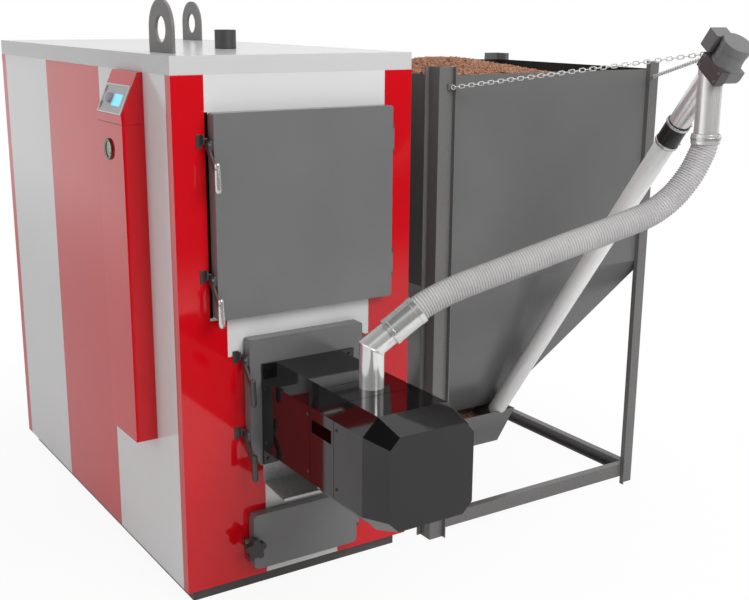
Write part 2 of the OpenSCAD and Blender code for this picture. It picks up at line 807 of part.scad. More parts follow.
// The white front sheet with windows round the door frames
module front_panel() {
    color("#dcdcdc") fronted() difference() {
        union() {
            box(-half_w + trim_t, half_w - trim_t, 0, sheet, plinth_h, lid_z);
            box(-half_w + fold + 2, half_w - fold - 2, 0, fold, plinth_h, plinth_h + sheet);
            box(-half_w + fold + 2, half_w - fold - 2, 0, fold / 2, lid_z - sheet, lid_z);
        }
        for (d = doors) along_y(-1, sheet + 1) inset_square(d, frame_inset - 1);
    }
}

// Red trims on the front's left side: a stepped face sheet with a folded side, and the back corner
module trims() {
    steps = [[0, lid_z], [86, lid_z], [86, 785], [133, 785], [133, 682], [190, 682], [190, 385], [235, 385],
             [235, plinth_h], [0, plinth_h]];
    color("#c8141f") fronted() {
        difference() {
            along_y(-trim_t, 0) translate([-half_w, 0]) polygon(steps);
            along_y(-trim_t - 1, 1) {
                inset_square(ash, frame_inset - 1);
                mirror([1, 0]) inset_square(ash, frame_inset - 1);
            }
        }
        box(-half_w, -half_w + trim_t, -trim_t, corner_trim, plinth_h, lid_z);
        box(-half_w, -half_w + trim_t, boiler_d - fold, boiler_d + trim_t, plinth_h, lid_z);
        box(-half_w, -half_w + fold, boiler_d, boiler_d + trim_t, plinth_h, lid_z);
    }
}

module trim_left() {
    trims();
}

module trim_right() {
    mirror([1, 0, 0]) trims();
}

// Welded plates with a round top, standing on the vessel's roof
module lifting_eyes() {
    color("#76716c") fronted() for (e = [[-eye_x, eye_front_y], [eye_x, boiler_d - eye_back_y]])
        along_x(e.x - eye_t / 2, e.x + eye_t / 2) difference() {
            union() {
                translate([e.y - eye_r, shell_top]) square([2 * eye_r, boiler_h + eye_h - shell_top]);
                translate([e.y, boiler_h + eye_h]) circle(eye_r);
            }
            translate([e.y, boiler_h + eye_h]) circle(eye_hole / 2);
        }
}

// A pipe stub: a thinner neck of length n that ends in a spigot of length l
module stub(r, n, l) {
    difference() {
        union() {
            cylinder(r = r - 2, h = n + 1);
            translate([0, 0, n]) cylinder(r = r, h = l);
        }
        translate([0, 0, -1]) cylinder(r = r - 5, h = n + l + 2);
    }
}

module pipe_stubs() {
    r = spigot_dia / 2;
    color("#5f5b58") fronted() {
        translate([0, flow_y, shell_top]) stub(r, roof_space + 1, flow_h - 1);
        translate([return_x, shell_back, return_z]) rotate([-90, 0, 0]) stub(r, back_space + 1, back_spigot);
        translate([-return_x, shell_back, drain_z]) rotate([-90, 0, 0]) difference() {
            union() {
                cylinder(r = drain_dia / 2 - 1.5, h = back_space + 2);
                translate([0, 0, back_space + 1]) cylinder(r = drain_dia / 2, h = back_spigot);
            }
            translate([0, 0, -1]) cylinder(r = drain_dia / 2 - 4, h = back_space + back_spigot + 3);
        }
    }
}

// The rear tube sheet, the flue box inside the vessel, and the flue spigot
module flue_outlet() {
    r = flue_dia / 2;
    x0 = smoke[0] - 10;
    x1 = smoke[1] + 10;
    z1 = smoke[3] + 10;
    inner_back = shell_back - shell_t;
    color("#63605e") fronted() {
        difference() {
            box(x0, x1, rear_sheet_y, inner_back, turn_z, z1);
            box(x0 + shell_t, x1 - shell_t, rear_sheet_y + 8, inner_back + 1, turn_z + shell_t, z1 - shell_t);
            for (i = [0 : 5], j = [2 : 5])
                translate([tube_x0 + i * tube_pitch, rear_sheet_y + 9, tube_z0 + j * tube_pitch])
                    rotate([90, 0, 0]) cylinder(r = tube_od / 2 - tube_wall, h = 10);
        }
        translate([0, shell_back, flue_z]) rotate([-90, 0, 0]) difference() {
            union() {
                cylinder(r = r - 1, h = back_space + 2);
                translate([0, 0, back_space + 1]) cylinder(r = r, h = flue_len);
            }
            translate([0, 0, -1]) cylinder(r = r - 4, h = back_space + flue_len + 3);
        }
    }
}

// Hinge brackets with their pins, latch keepers and the boss that the ash door's stud meets
module door_hardware() {
    color("#6f6d6b") fronted() {
        for (i = [0 : 2], z = hinge_zs[i]) hinge_bracket(doors[i], z);
        for (z = upper_latch_zs) keeper(upper, z);
        for (z = burner_latch_zs) keeper(burner_door_box, z);
        box(star_x - 9, ash[0] - 1, -6, -trim_t, star_z - 10, star_z + 10);
    }
}

// The drawer that catches the ash, standing on the firebox floor
module ash_drawer() {
    x0 = ash[0] + frame_in + 11;
    x1 = ash[1] - frame_in - 11;
    color("#4e4a47") fronted() {
        difference() {
            box(x0, x1, 12, 700, ash_floor, ash_floor + 82);
            box(x0 + 2, x1 - 2, 14, 698, ash_floor + 2, ash_floor + 83);
        }
        difference() {
            box(-60, 40, 2, 12, ash_floor + 46, ash_floor + 52);
            box(-50, 30, 5, 13, ash_floor + 45, ash_floor + 53);
        }
    }
}

// Console on the left side

module console_box() {
    color("#be141c") fronted() difference() {
        box(console_x, -half_w, console_y, console_y1, console_z, head_z);
        box(console_x + sheet, -half_w + 1, console_y + sheet, console_y1 - sheet, console_z + sheet, head_z - sheet);
        translate([0, -front, 0]) on_gauge() translate([0, 0, -5]) cylinder(r = gauge_dia / 2 - 3 + fit, h = 6);
    }
}

// The head's profile in x and z, set in by a margin
function head_profile(m) = [
    [m > 0 ? -half_w + 1 : -half_w, head_z + 2 + m], [console_x + m, head_z + 2 + m], [lip_x + m, lip_z - m / 3],
    [-half_w - head_top_out + m / 3, lid_z - m], [m > 0 ? -half_w + 1 : -half_w, lid_z - m]];

module console_head() {
    color("#d00f1b") fronted() difference() {
        union() {
            along_y(console_y, console_y1) polygon(head_profile(0));
            box(console_x + 2, -half_w, console_y + 2, console_y1 - 2, head_z, head_z + 3);
        }
        along_y(console_y + sheet, console_y1 - sheet) polygon(head_profile(2 * sheet));
        knob_bore();
    }
}

// The bore that the control knob's pin turns in
module knob_bore() {
    translate([0, -front, 0]) on_slope()
        translate([-knob_at.x, knob_at.y, -8]) cylinder(r = 3 + run, h = 12);
}

module console_fascia() {
    color("#d2d0d2") difference() {
        on_slope() translate([-fascia_y - fascia_w, 1, 0]) difference() {
            cube([fascia_w, fascia_h, fascia_t]);
            translate([fascia_w - display_in - display_w, display_up - 1, fascia_t - 1.5])
                cube([display_w, display_h, 2]);
            for (i = [0 : 5]) translate([6, 18 + i * 7, fascia_t - 1]) cube([12, 2, 2]);
        }
        translate([0, front, 0]) knob_bore();
    }
}

module display() {
    color("#3a59c8") on_slope()
        translate([-fascia_y - display_in - display_w + fit, display_up + fit, fascia_t - 1.5])
            cube([display_w - 2 * fit, display_h - 2 * fit, 1.5]);
}

module control_knob() {
    r = knob_dia / 2;
    color("#8d8799") on_slope() translate([-knob_at.x, knob_at.y, 0]) {
        translate([0, 0, -2]) cylinder(r = 3, h = fascia_t + 4);
        difference() {
            translate([0, 0, fascia_t + fit]) cylinder(r1 = r, r2 = r - 1.5, h = knob_h);
            translate([-1, 3, fascia_t + knob_h - 1]) cube([2, r, 3]);
            for (i = [0 : 11]) rotate([0, 0, 30 * i])
                translate([r + 0.4, 0, fascia_t]) cylinder(r = 1.4, h = knob_h + 2);
        }
    }
}

// Puts its children in the gauge's frame: z out of the console's side
module on_gauge() {
    translate([console_x, front + gauge_y, gauge_z]) rotate([0, -90, 0]) children();
}

// A dial thermometer let into the console: a can with a flange, and the pivot that carries the needle
module gauge_body() {
    r = gauge_dia / 2;
    color("#2b2b2d") on_gauge() {
        difference() {
            union() {
                cylinder(r = r, h = 3.5);
                translate([0, 0, -gauge_deep]) cylinder(r = r - 3, h = gauge_deep + 1);
            }
            translate([0, 0, -dial_deep]) cylinder(r = r - 4.5, h = dial_deep + 4);
        }
        translate([0, 0, -dial_deep - 1]) cylinder(r = 2, h = 5);
    }
}

module gauge_needle() {
    color("#c01818") on_gauge() translate([0, 0, -dial_deep]) rotate([0, 0, 135])
        difference() {
            union() {
                translate([0, 0, fit]) cylinder(r = 4.5, h = 2.4);
                translate([0, -1, 0.8]) cube([gauge_dia / 2 - 7, 2, 1]);
                translate([-9, -1.5, 0.8]) cube([9, 3, 1]);
            }
            cylinder(r = 2 + run, h = 6);
        }
}

// Upper door

module upper_door() {
    color("#77777a") fronted() {
        door_pan(upper, hinge_zs[0]);
        for (z = upper_latch_zs) latch_ear(upper, z);
    }
}

module upper_door_lining() {
    color("#d9d2c2") fronted() {
        door_board(upper);
        door_rope(upper);
    }
}

module upper_latch_top() {
    color("#a3a3a3") latch(upper, upper_latch_zs[0]);
}

module upper_latch_bottom() {
    color("#a3a3a3") latch(upper, upper_latch_zs[1]);
}

// Burner door and burner

// The round hole for the flame tube
module flame_hole(y0, y1) {
    translate([0, y1, burner_z]) rotate([90, 0, 0]) cylinder(r = flame_od / 2 + 1, h = y1 - y0);
}

module burner_door() {
    color("#747477") fronted() {
        difference() {
            door_pan(burner_door_box, hinge_zs[1]);
            flame_hole(-door_front - 1, 0);
        }
        for (z = burner_latch_zs) latch_ear(burner_door_box, z);
    }
}

module burner_door_lining() {
    color("#d9d2c2") fronted() {
        difference() {
            door_board(burner_door_box);
            flame_hole(-door_front - 1, 1);
        }
        door_rope(burner_door_box);
    }
}

module burner_latch_top() {
    color("#a3a3a3") latch(burner_door_box, burner_latch_zs[0]);
}

module burner_latch_bottom() {
    color("#a3a3a3") latch(burner_door_box, burner_latch_zs[1]);
}

// The burner's eight-sided section, set in by a margin
module octagon(w, h, cut, margin) {
    x = w / 2 - margin;
    z = h / 2 - margin;
    c = cut - margin * (2 - sqrt(2));
    translate([0, burner_z]) polygon([[x, z - c], [x - c, z], [c - x, z], [-x, z - c], [-x, c - z], [c - x, -z],
                                      [x - c, -z], [x, c - z]]);
}

// One open eight-sided cover between two stations in front of the front panel
module cover(y0, y1) {
    along_y(-y1, -y0) difference() {
        octagon(burner_w, burner_w, burner_cut, 0);
        octagon(burner_w, burner_w, burner_cut, cover_t);
    }
}

// The rear body with its square flange and four bolts
module burner_body() {
    b = burner_w / 2 - 14;
    color("#1c1b1c") fronted() {
        difference() {
            union() {
                box(-burner_w / 2, burner_w / 2, -flange_y, -door_front, burner_z - burner_w / 2, burner_top);
                cover(flange_y - 1, mid_y);
            }
            flame_hole(-flange_y - 1, -door_front + 1);
        }
        for (x = [-b, b], z = [burner_z - b, burner_z + b])
            translate([x, -flange_y, z]) rotate([90, 0, 0]) cylinder(r = 5, h = 3.5, $fn = 6);
    }
}

// The middle body with the hole for the inlet pipe and a recessed plate on its left
module burner_mid_body() {
    x = burner_w / 2;
    color("#1c1b1c") fronted() difference() {
        union() {
            cover(mid_y, hood_y);
            box(-x + 1, -x + 5, -hood_y + 8, -mid_y - 3, burner_z + 31, burner_z + 73);
        }
        box(-x - 1, -x + 2, -hood_y + 12, -mid_y - 7, burner_z + 35, burner_z + 69);
        translate([inlet_x, -inlet_y, burner_top - cover_t - 1])
            cylinder(r = pipe_od / 2 + fit, h = cover_t + 2);
    }
}

// A bevelled eight-sided block between the hood's straight part and its front face
module nose(margin) {
    hull() {
        along_y(-nose_y - 0.1, -nose_y) octagon(burner_w, burner_w, burner_cut, margin);
        along_y(-burner_front + margin, -burner_front + margin + 0.1) octagon(nose_w, nose_h, 27, margin);
    }
}

module burner_hood() {
    color("#3b3939") fronted() {
        cover(hood_y, nose_y);
        difference() {
            nose(0);
            nose(cover_t);
            along_y(-nose_y - 1, -nose_y + 1) octagon(burner_w, burner_w, burner_cut, cover_t);
            for (i = [0 : 4]) box(-50, 50, -nose_y - 22 - 12 * i, -nose_y - 16 - 12 * i,
                                  burner_z - burner_w / 2 - 1, burner_z - 80);
        }
    }
}

// The flame tube with its collar and its rear wall, and the igniter rod
module burner_tube() {
    r = flame_od / 2;
    color("#8a7f76") fronted() {
        translate([0, -flame_out, burner_z]) rotate([-90, 0, 0]) {
            difference() {
                union() {
                    cylinder(r = r, h = flame_out + flame_in);
                    translate([0, 0, flame_out - flange_y - 8]) cylinder(r = r + 20, h = 8);
                }
                translate([0, 0, 4]) cylinder(r = r - flame_wall, h = flame_out + flame_in);
                translate([inlet_x, burner_z - chute_z, -1]) cylinder(r = pipe_od / 2 - pipe_wall, h = 6);
                translate([0, igniter_drop, -1]) cylinder(r = 8 + fit, h = 6);
            }
            translate([0, igniter_drop, -60]) cylinder(r = 8, h = 190);
        }
    }
}

// The fan motor on its plate inside the hood
module fan_motor() {
    color("#3f4042") fronted() {
        along_y(-hood_y - 7, -hood_y - 3) octagon(burner_w, burner_w, burner_cut, cover_t + fit);
        translate([0, -hood_y - 6, burner_z]) rotate([90, 0, 0]) {
            cylinder(r = fan_motor_dia / 2, h = 58);
            cylinder(r = 12, h = 62);
            cylinder(r = 4, h = 88);
        }
    }
}

// The fan wheel: a back plate, a hub and straight blades
module burner_fan() {
    r = fan_dia / 2;
    color("#b5b7ba") fronted() translate([0, -hood_y - 72, burner_z]) rotate([90, 0, 0]) difference() {
        union() {
            cylinder(r = r, h = 2);
            cylinder(r = 11, h = 26);
            for (i = [0 : fan_blades - 1]) rotate([0, 0, 360 * i / fan_blades])
                translate([10, -1, 0]) cube([r - 12, 2, 30]);
        }
        translate([0, 0, -1]) cylinder(r = 4 + run, h = 32);
    }
}

// The inlet pipe: a chute inside the burner, the upright through its cover, and the bent end
module inlet_pipe() {
    r = pipe_od / 2;
    top = [inlet.x, inlet.y, burner_z + 60];
    end = [inlet.x, front - flame_out - 9, chute_z + 3];
    color("#b9babb") difference() {
        union() {
            rod(top, end, r - 1);
            bent_pipe(top.z - r - 6, elbow_l, r);
        }
        rod(top, end + (end - top) * 0.1, r - 1 - pipe_wall);
        bent_pipe(top.z - r - 4, elbow_l + 1, r - pipe_wall);
    }
}

// An upright from height z that turns at the inlet and runs on for length l, with a fuller turn
module bent_pipe(z, l, r) {
    translate([inlet.x, inlet.y, z]) cylinder(r = r, h = inlet.z - z);
    translate(inlet) sphere(r + turn_bulge);
    rod(inlet, inlet + elbow_v * l, r);
}

// The cuff that holds the elbow in one end and the hose in the other
module hose_cuff() {
    color("#a9a6a8") aimed(inlet, elbow_v) translate([0, 0, cuff_from]) difference() {
        union() {
            cylinder(r = cuff_od / 2 - 1, h = cuff_l);
            cylinder(r = cuff_od / 2, h = 10);
            translate([0, 0, cuff_l - 14]) cylinder(r = cuff_od / 2, h = 14);
        }
        translate([0, 0, -1]) cylinder(r = pipe_od / 2 + fit, h = cuff_l + 2);
        translate([0, 0, elbow_l - cuff_from]) cylinder(r = hose_od / 2 + fit, h = cuff_l);
    }
}

// A folded sheet under the burner that catches dropped pellets
module burner_shelf() {
    z = burner_z - burner_w / 2;
    y = -door_front;
    tip = y - shelf_reach;
    color("#7a7a7c") fronted() along_x(-shelf_w / 2, shelf_w / 2)
        polygon([[y, z], [y - 2, z], [y - 2, z - 51], [tip, z - 63], [tip, z - 57], [tip - 2, z - 57],
                 [tip - 2, z - 65], [y, z - 53]]);
}

// Ash door

module ash_door() {
    color("#7b7b7d") fronted() {
        door_pan(ash, hinge_zs[2]);
        difference() {
            box(star_x - 9, ash[0] + 1, -door_gap - ash_door_t, -12, star_z - 12, star_z + 12);
            translate([star_x, 0, star_z]) rotate([90, 0, 0]) cylinder(r = 5 + run, h = 60);
        }
    }
}

module ash_door_lining() {
    color("#d9d2c2") fronted() {
        door_board(ash);
        door_rope(ash);
    }
}

// A five-lobed star knob on its stud
module ash_knob() {
    back = door_gap + ash_door_t + 12;
    lobe = star_r * 0.3;
    color("#4a4744") fronted() translate([star_x, 0, star_z]) rotate([90, 0, 0]) {
        translate([0, 0, 6 + keeper_gap]) cylinder(r = 5, h = back - 2);
        translate([0, 0, back - 12 + fit]) cylinder(r = 10, h = 13);
        translate([0, 0, back]) linear_extrude(star_t) difference() {
            union() {
                circle(star_r - lobe);
                for (i = [0 : 4]) rotate(72 * i + 18) translate([star_r - lobe, 0]) circle(lobe);
            }
            for (i = [0 : 4]) rotate(72 * i + 54) translate([star_r + 1, 0]) circle(lobe);
        }
    }
}

// Hopper

// An angle post with its corner at the origin and a lip standing out from each edge
module post() {
    linear_extrude(post_h) {
        square([post_w, post_t]);
        square([post_t, post_w]);
        translate([post_w - post_t, -post_lip]) square([post_t, post_lip + post_t]);
        translate([-post_lip, post_w - post_t]) square([post_lip + post_t, post_t]);
    }
}

// A channel bar from x = 0 to x = l, with its web at y = 0
module bar(l) {
    difference() {
        cube([l, bar_d, bar_h]);
        translate([-1, post_t, post_t]) cube([l + 2, bar_d, bar_h - 2 * post_t]);
    }
}

// Four posts and the four channel bars between them
module hopper_frame() {
    w = hopper_w - 2 * post_t;
    d = hopper_d - 2 * post_t;
    color("#6c6a69") {
        translate([hx0, hy0, 0]) post();
        translate([hx1, hy0, 0]) mirror([1, 0, 0]) post();
        translate([hx0, hy1, 0]) mirror([0, 1, 0]) post();
        translate([hx1, hy1, 0]) rotate([0, 0, 180]) post();
        translate([hx0 + post_t, hy0 + post_t, bar_z]) {
            bar(w);
            translate([w, d, 0]) rotate([0, 0, 180]) bar(w);
            translate([0, d - bar_d, 0]) rotate([0, 0, -90]) bar(d - 2 * bar_d);
            translate([w, bar_d, 0]) rotate([0, 0, 90]) bar(d - 2 * bar_d);
        }
    }
}

module hopper_walls() {
    i = post_t + hopper_t;
    color("#6c6c6a") difference() {
        box(hx0 + post_t, hx1 - post_t, hy0 + post_t, hy1 - post_t, crease_z, rim_z);
        box(hx0 + i, hx1 - i, hy0 + i, hy1 - i, crease_z - 1, rim_z + 1);
    }
}

// The funnel's block from crease to outlet, with its sides set in by m
module funnel_block(m) {
    i = post_t + m;
    intersection() {
        along_y(hy0, hy1) polygon([[hx0 + i, crease_z], [outlet_x0 + m, outlet_z],
                                   [outlet_x0 + outlet_w - m, outlet_z], [hx1 - i, crease_z]]);
        along_x(hx0, hx1) polygon([[hy0 + i, crease_z], [outlet_y0 + m, outlet_z],
                                   [outlet_y0 + outlet_d - m, outlet_z], [hy1 - i, crease_z]]);
    }
}

module hopper_funnel() {
    color("#6a6a69") difference() {
        funnel_block(0);
        funnel_block(hopper_t);
    }
}

// The trough's section in x and z, set in by m and filled to height h
function trough_section(m, h) =
    let (a = trough_w / 2 - m, b = outlet_w / 2 - m, k = (b - a) / (outlet_z - trough_z))
    [[trough_x - a, trough_z + m], [trough_x + a, trough_z + m],
     [trough_x + a + k * (h - m), trough_z + h], [trough_x - a - k * (h - m), trough_z + h]];

// The open trough that hangs on the funnel's outlet
module trough() {
    y0 = front + trough_y;
    y1 = outlet_y0 + outlet_d;
    h = outlet_z - trough_z;
    color("#706e6d") difference() {
        along_y(y0, y1) polygon(trough_section(0, h));
        along_y(y0 + hopper_t, y1 - hopper_t) polygon(trough_section(hopper_t, h + 20));
        on_auger() translate([0, 0, -30]) cylinder(r = auger_od / 2 + fit, h = 200);
    }
}

// The pellets in the hopper, heaped above its rim, and those in the trough
module pellets() {
    i = post_t + hopper_t;
    heap_h = heap_run * tan(heap_slope);
    color("#b98562") {
        intersection() {
            box(hx0 + i, hx1 - i, hy0 + i, hy1 - i, crease_z, heap_z + 1);
            union() {
                translate([heap_at.x, heap_at.y, heap_z - heap_h])
                    cylinder(r1 = heap_run + heap_top, r2 = heap_top, h = heap_h);
                box(hx0, hx1, hy0, hy1, crease_z, heap_z - heap_h);
            }
        }
        funnel_block(hopper_t);
        along_y(front + trough_y + hopper_t, outlet_y0 + outlet_d - hopper_t)
            polygon(trough_section(hopper_t, trough_fill));
    }
}

// Auger

module auger_tube() {
    color("#b4b5b6") on_auger() ring(auger_od / 2, auger_od / 2 - auger_wall, joint_at - fit);
}

// Points of one helical flight from z0 to z1, twelve to a turn
flight_steps = 12;
function flight_section(t, z0, ri, ro, w) =
    let (a = 360 * t / flight_steps, z = z0 + screw_pitch * t / flight_steps)
    [[ri * cos(a), ri * sin(a), z], [ro * cos(a), ro * sin(a), z],
     [ro * cos(a), ro * sin(a), z + w], [ri * cos(a), ri * sin(a), z + w]];

// A helical flight round a shaft
module flight(z0, z1, ri, ro, w) {
    n = floor((z1 - z0 - w) / screw_pitch * flight_steps);
    points = [for (t = [0 : n], p = flight_section(t, z0, ri, ro, w)) p];
    sides = [for (t = [0 : n - 1], k = [0 : 3])
        let (a = 4 * t + k, b = 4 * t + (k + 1) % 4)
        each [[a, b, a + 4], [b, b + 4, a + 4]]];
    polyhedron(points, concat([[0, 3, 2, 1]], sides, [[4 * n, 4 * n + 1, 4 * n + 2, 4 * n + 3]]));
}

module auger_screw() {
    shaft = shaft_dia / 2;
    color("#9a9a98") on_auger() {
        translate([0, 0, -screw_out]) cylinder(r = shaft, h = auger_l + screw_out + 34);
        flight(-screw_out, auger_l - 70, shaft / cos(180 / flight_steps) + 0.05, screw_dia / 2, 3);
    }
}

// The sleeve that joins the two auger tubes, with its two clamps
module coupling_sleeve() {
    r = auger_od / 2;
    color("#3c3838") on_auger() translate([0, 0, joint_at - sleeve_l / 2]) {
        difference() {
            cylinder(r = r + 2.5, h = sleeve_l);
            translate([0, 0, -1]) cylinder(r = r + fit, h = sleeve_l + 2);
        }
        for (z = [2, sleeve_l - 11]) translate([0, 0, z]) {
            ring(r + 3.5, r + 2, 9);
            translate([r + 2, -7, 1]) cube([8, 14, 7]);
        }
    }
}

// The upper tube with the drop pipe, and the hose clamp round the hose's end
module outlet_tee() {
    r = pipe_od / 2;
    h = hose_od / 2;
    color("#b4b5b6") {
        difference() {
            intersection() {
                union() {
                    on_auger() translate([0, 0, joint_at + fit]) cylinder(r = auger_od / 2, h = 300);
                    translate(drop) cylinder(r = r, h = 170);
                }
                on_auger() translate([-100, -200, -300]) cube([200, 400, auger_l + 300]);
            }
            on_auger() translate([0, 0, joint_at]) cylinder(r = auger_od / 2 - auger_wall, h = 300);
            translate([drop.x, drop.y, drop.z - 1]) cylinder(r = r - pipe_wall, h = 145);
        }
        translate([drop.x, drop.y, drop.z - 25]) {
            ring(h + 2.5, h + fit, 25);
            translate([h + 1, -9, 6]) cube([11, 18, 13]);
        }
    }
}

// The gearbox, with its cover, its feet and the bore that takes the screw's shaft
module gearbox() {
    x0 = -gear_w / 2;
    color("#5d4a46") on_auger() translate([0, 0, auger_l]) difference() {
        union() {
            translate([x0, -gear_under, 6]) cube([gear_w, gear_under + gear_over, gear_l - 6]);
            translate([x0 + 5, -gear_under + 5, 0]) cube([gear_w - 10, gear_under + gear_over - 10, 8]);
            for (x = [x0 + 8, -x0 - 8], y = [-gear_under + 8, gear_over - 8])
                translate([x, y, 2]) cylinder(r = 5, h = gear_l - 2);
        }
        translate([0, 0, -1]) cylinder(r = shaft_dia / 2 + run, h = 42);
    }
}

// The motor with its end caps and terminal box
module auger_motor() {
    r = motor_dia / 2;
    color("#6b6b70") on_auger() translate([0, -22, auger_l + gear_l]) {
        cylinder(r = r - 1.5, h = motor_l);
        cylinder(r = r, h = 10);
        translate([0, 0, motor_l - 20]) cylinder(r = r, h = 20);
        translate([-gear_w / 2, r - 4, 5]) cube([52, 34, 50]);
    }
}

// Chains

// Half a link: its bend and one straight side
module half_link(w, l, wire) {
    r = (w - wire) / 2;
    translate([0, 0, l / 2 - r]) rotate([90, 0, 0]) rotate_extrude(angle = 180) translate([r, 0]) circle(wire / 2);
    translate([r, 0, r - l / 2]) cylinder(r = wire / 2, h = l - 2 * r);
}

// A link along z, with wire-to-wire length l
module link(l) {
    half_link(link_w, l, link_wire);
    rotate([0, 180, 0]) half_link(link_w, l, link_wire);
}

// An eye at p that points along v, on a plate at q
module eye(p, v, q) {
    aimed(p, v) rotate([90, 0, 0]) rotate_extrude() translate([5.5, 0]) circle(1.5);
    rod(p - 5.5 * v / norm(v), q, 2);
}

// A straight chain between two eyes
module chain(p, q) {
    l = norm(q - p);
    link_l = link_pitch + link_wire + link_play;
    z1 = 5.5 - 1.5 - link_wire / 2 - link_play + link_l / 2;
    n = round((l - 2 * z1) / link_pitch);
    aimed(p, q - p) for (i = [0 : n])
        translate([0, 0, z1 + i * (l - 2 * z1) / n]) rotate([0, 0, (i % 2 == 0) ? 90 : 0]) link(link_l);
}

// A chain from a post at x and z to the gearbox, with the eyes and plates that hold it
module post_chain(x, z, side) {
    plate = [x, hy0, z];
    p = plate + [0, -16, 0];
    g = foot + side * auger_side + (gear_over + 3) * auger_back + (auger_l + 24) * auger_up;
    q = g + 13 * auger_back;
    color("#c4c2bf") {
        chain(p, q);
        eye(p, q - p, plate + [0, -3, 0]);
        eye(q, p - q, g);
        box(x - 8, x + 8, hy0 - 5, hy0, z - 8, z + 8);
        on_auger() translate([side - 7, gear_over, auger_l + 17]) cube([14, 4, 14]);
    }
}

module chain_left() {
    post_chain(hx0 + 36, 1355, -20);
}

module chain_right() {
    post_chain(hx1 - 36, 1366, 20);
}

// Hose

// Unit tangent of the route at point i
function unit(v) = v / norm(v);
function tangent(i) =
    let (n = len(hose_points) - 1)
    i < 2 ? elbow_dir : i > n - 2 ? [0, 1] : unit(hose_points[i + 1] - hose_points[i - 1]);

// Point of the route at share u of span i, and its direction there
function route_at(i, u) =
    let (p = hose_points[i], q = hose_points[i + 1], l = norm(q - p))
    (2 * u ^ 3 - 3 * u ^ 2 + 1) * p + (u ^ 3 - 2 * u ^ 2 + u) * l * tangent(i)
    + (3 * u ^ 2 - 2 * u ^ 3) * q + (u ^ 3 - u ^ 2) * l * tangent(i + 1);
function route_dir(i, u) =
    let (p = hose_points[i], q = hose_points[i + 1], l = norm(q - p))
    unit((6 * u ^ 2 - 6 * u) * (p - q) + (3 * u ^ 2 - 4 * u + 1) * l * tangent(i)
         + (3 * u ^ 2 - 2 * u) * l * tangent(i + 1));

// One eight-sided ring of radius r round the route
function hose_ring(i, u, r) =
    let (c = route_at(i, u), t = route_dir(i, u))
    [for (a = [22.5 : 45 : 359])
        [inlet.x + feed_plan.x * (c.x - r * sin(a) * t.y) - feed_plan.y * r * cos(a),
         inlet.y + feed_plan.y * (c.x - r * sin(a) * t.y) + feed_plan.x * r * cos(a),
         c.y + r * sin(a) * t.x]];

// The ribbed hose as one swept wall: ribbed outside, smooth bore
module feed_hose() {
    spans = len(hose_points) - 2;
    ribs = [for (i = [0 : spans]) round(norm(hose_points[i + 1] - hose_points[i]) / rib_pitch)];
    outer = concat(
        [for (i = [0 : spans], k = [0 : 2 * ribs[i] - 1])
            hose_ring(i, k / (2 * ribs[i]), hose_od / 2 - (k % 2 == 0 ? rib_depth : 0))],
        [hose_ring(spans, 1, hose_od / 2 - rib_depth)]);
    inner = concat([for (i = [0 : spans], k = [0 : 3]) hose_ring(i, k / 4, hose_bore)],
                   [hose_ring(spans, 1, hose_bore)]);
    m = len(outer);
    k0 = 8 * m;
    n = len(inner);
    points = concat([for (s = outer) each s], [for (s = inner) each s]);
    outside = [for (s = [0 : m - 2], j = [0 : 7])
        let (a = 8 * s + j, b = 8 * s + (j + 1) % 8) each [[a, a + 8, b], [b, a + 8, b + 8]]];
    inside = [for (s = [0 : n - 2], j = [0 : 7])
        let (a = k0 + 8 * s + j, b = k0 + 8 * s + (j + 1) % 8) each [[a, b, a + 8], [b, b + 8, a + 8]]];
    foot_cap = [for (j = [0 : 7]) let (b = (j + 1) % 8) each [[j, b, k0 + j], [b, k0 + b, k0 + j]]];
    o = 8 * (m - 1);
    e = k0 + 8 * (n - 1);
    top_cap = [for (j = [0 : 7]) let (b = (j + 1) % 8) each [[o + j, e + j, o + b], [o + b, e + j, e + b]]];
    color("#cfcfcd") polyhedron(points, concat(outside, inside, foot_cap, top_cap));
}

plinth();
pressure_shell();
front_plate();
firebox();
fire_tubes();
insulation();
casing_left();
casing_right();
casing_top();
casing_back();
front_panel();
trim_left();
trim_right();
side_stripes();
console_box();
console_head();
console_fascia();
display();
gauge_body();
gauge_needle();
control_knob();
lifting_eyes();
pipe_stubs();
flue_outlet();
door_hardware();
ash_drawer();
upper_door();
upper_door_lining();
upper_latch_top();
upper_latch_bottom();
burner_door();
burner_door_lining();
burner_latch_top();
burner_latch_bottom();
burner_body();
burner_mid_body();
burner_hood();
burner_tube();
fan_motor();
burner_fan();
inlet_pipe();
hose_cuff();
burner_shelf();
ash_door();
ash_door_lining();
ash_knob();
hopper_frame();
hopper_walls();
hopper_funnel();
trough();
pellets();
auger_tube();
auger_screw();
coupling_sleeve();
outlet_tee();
gearbox();
auger_motor();
chain_left();
chain_right();
feed_hose();
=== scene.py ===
import json
import math
import random

import bmesh
import bpy
from mathutils import Matrix, Vector


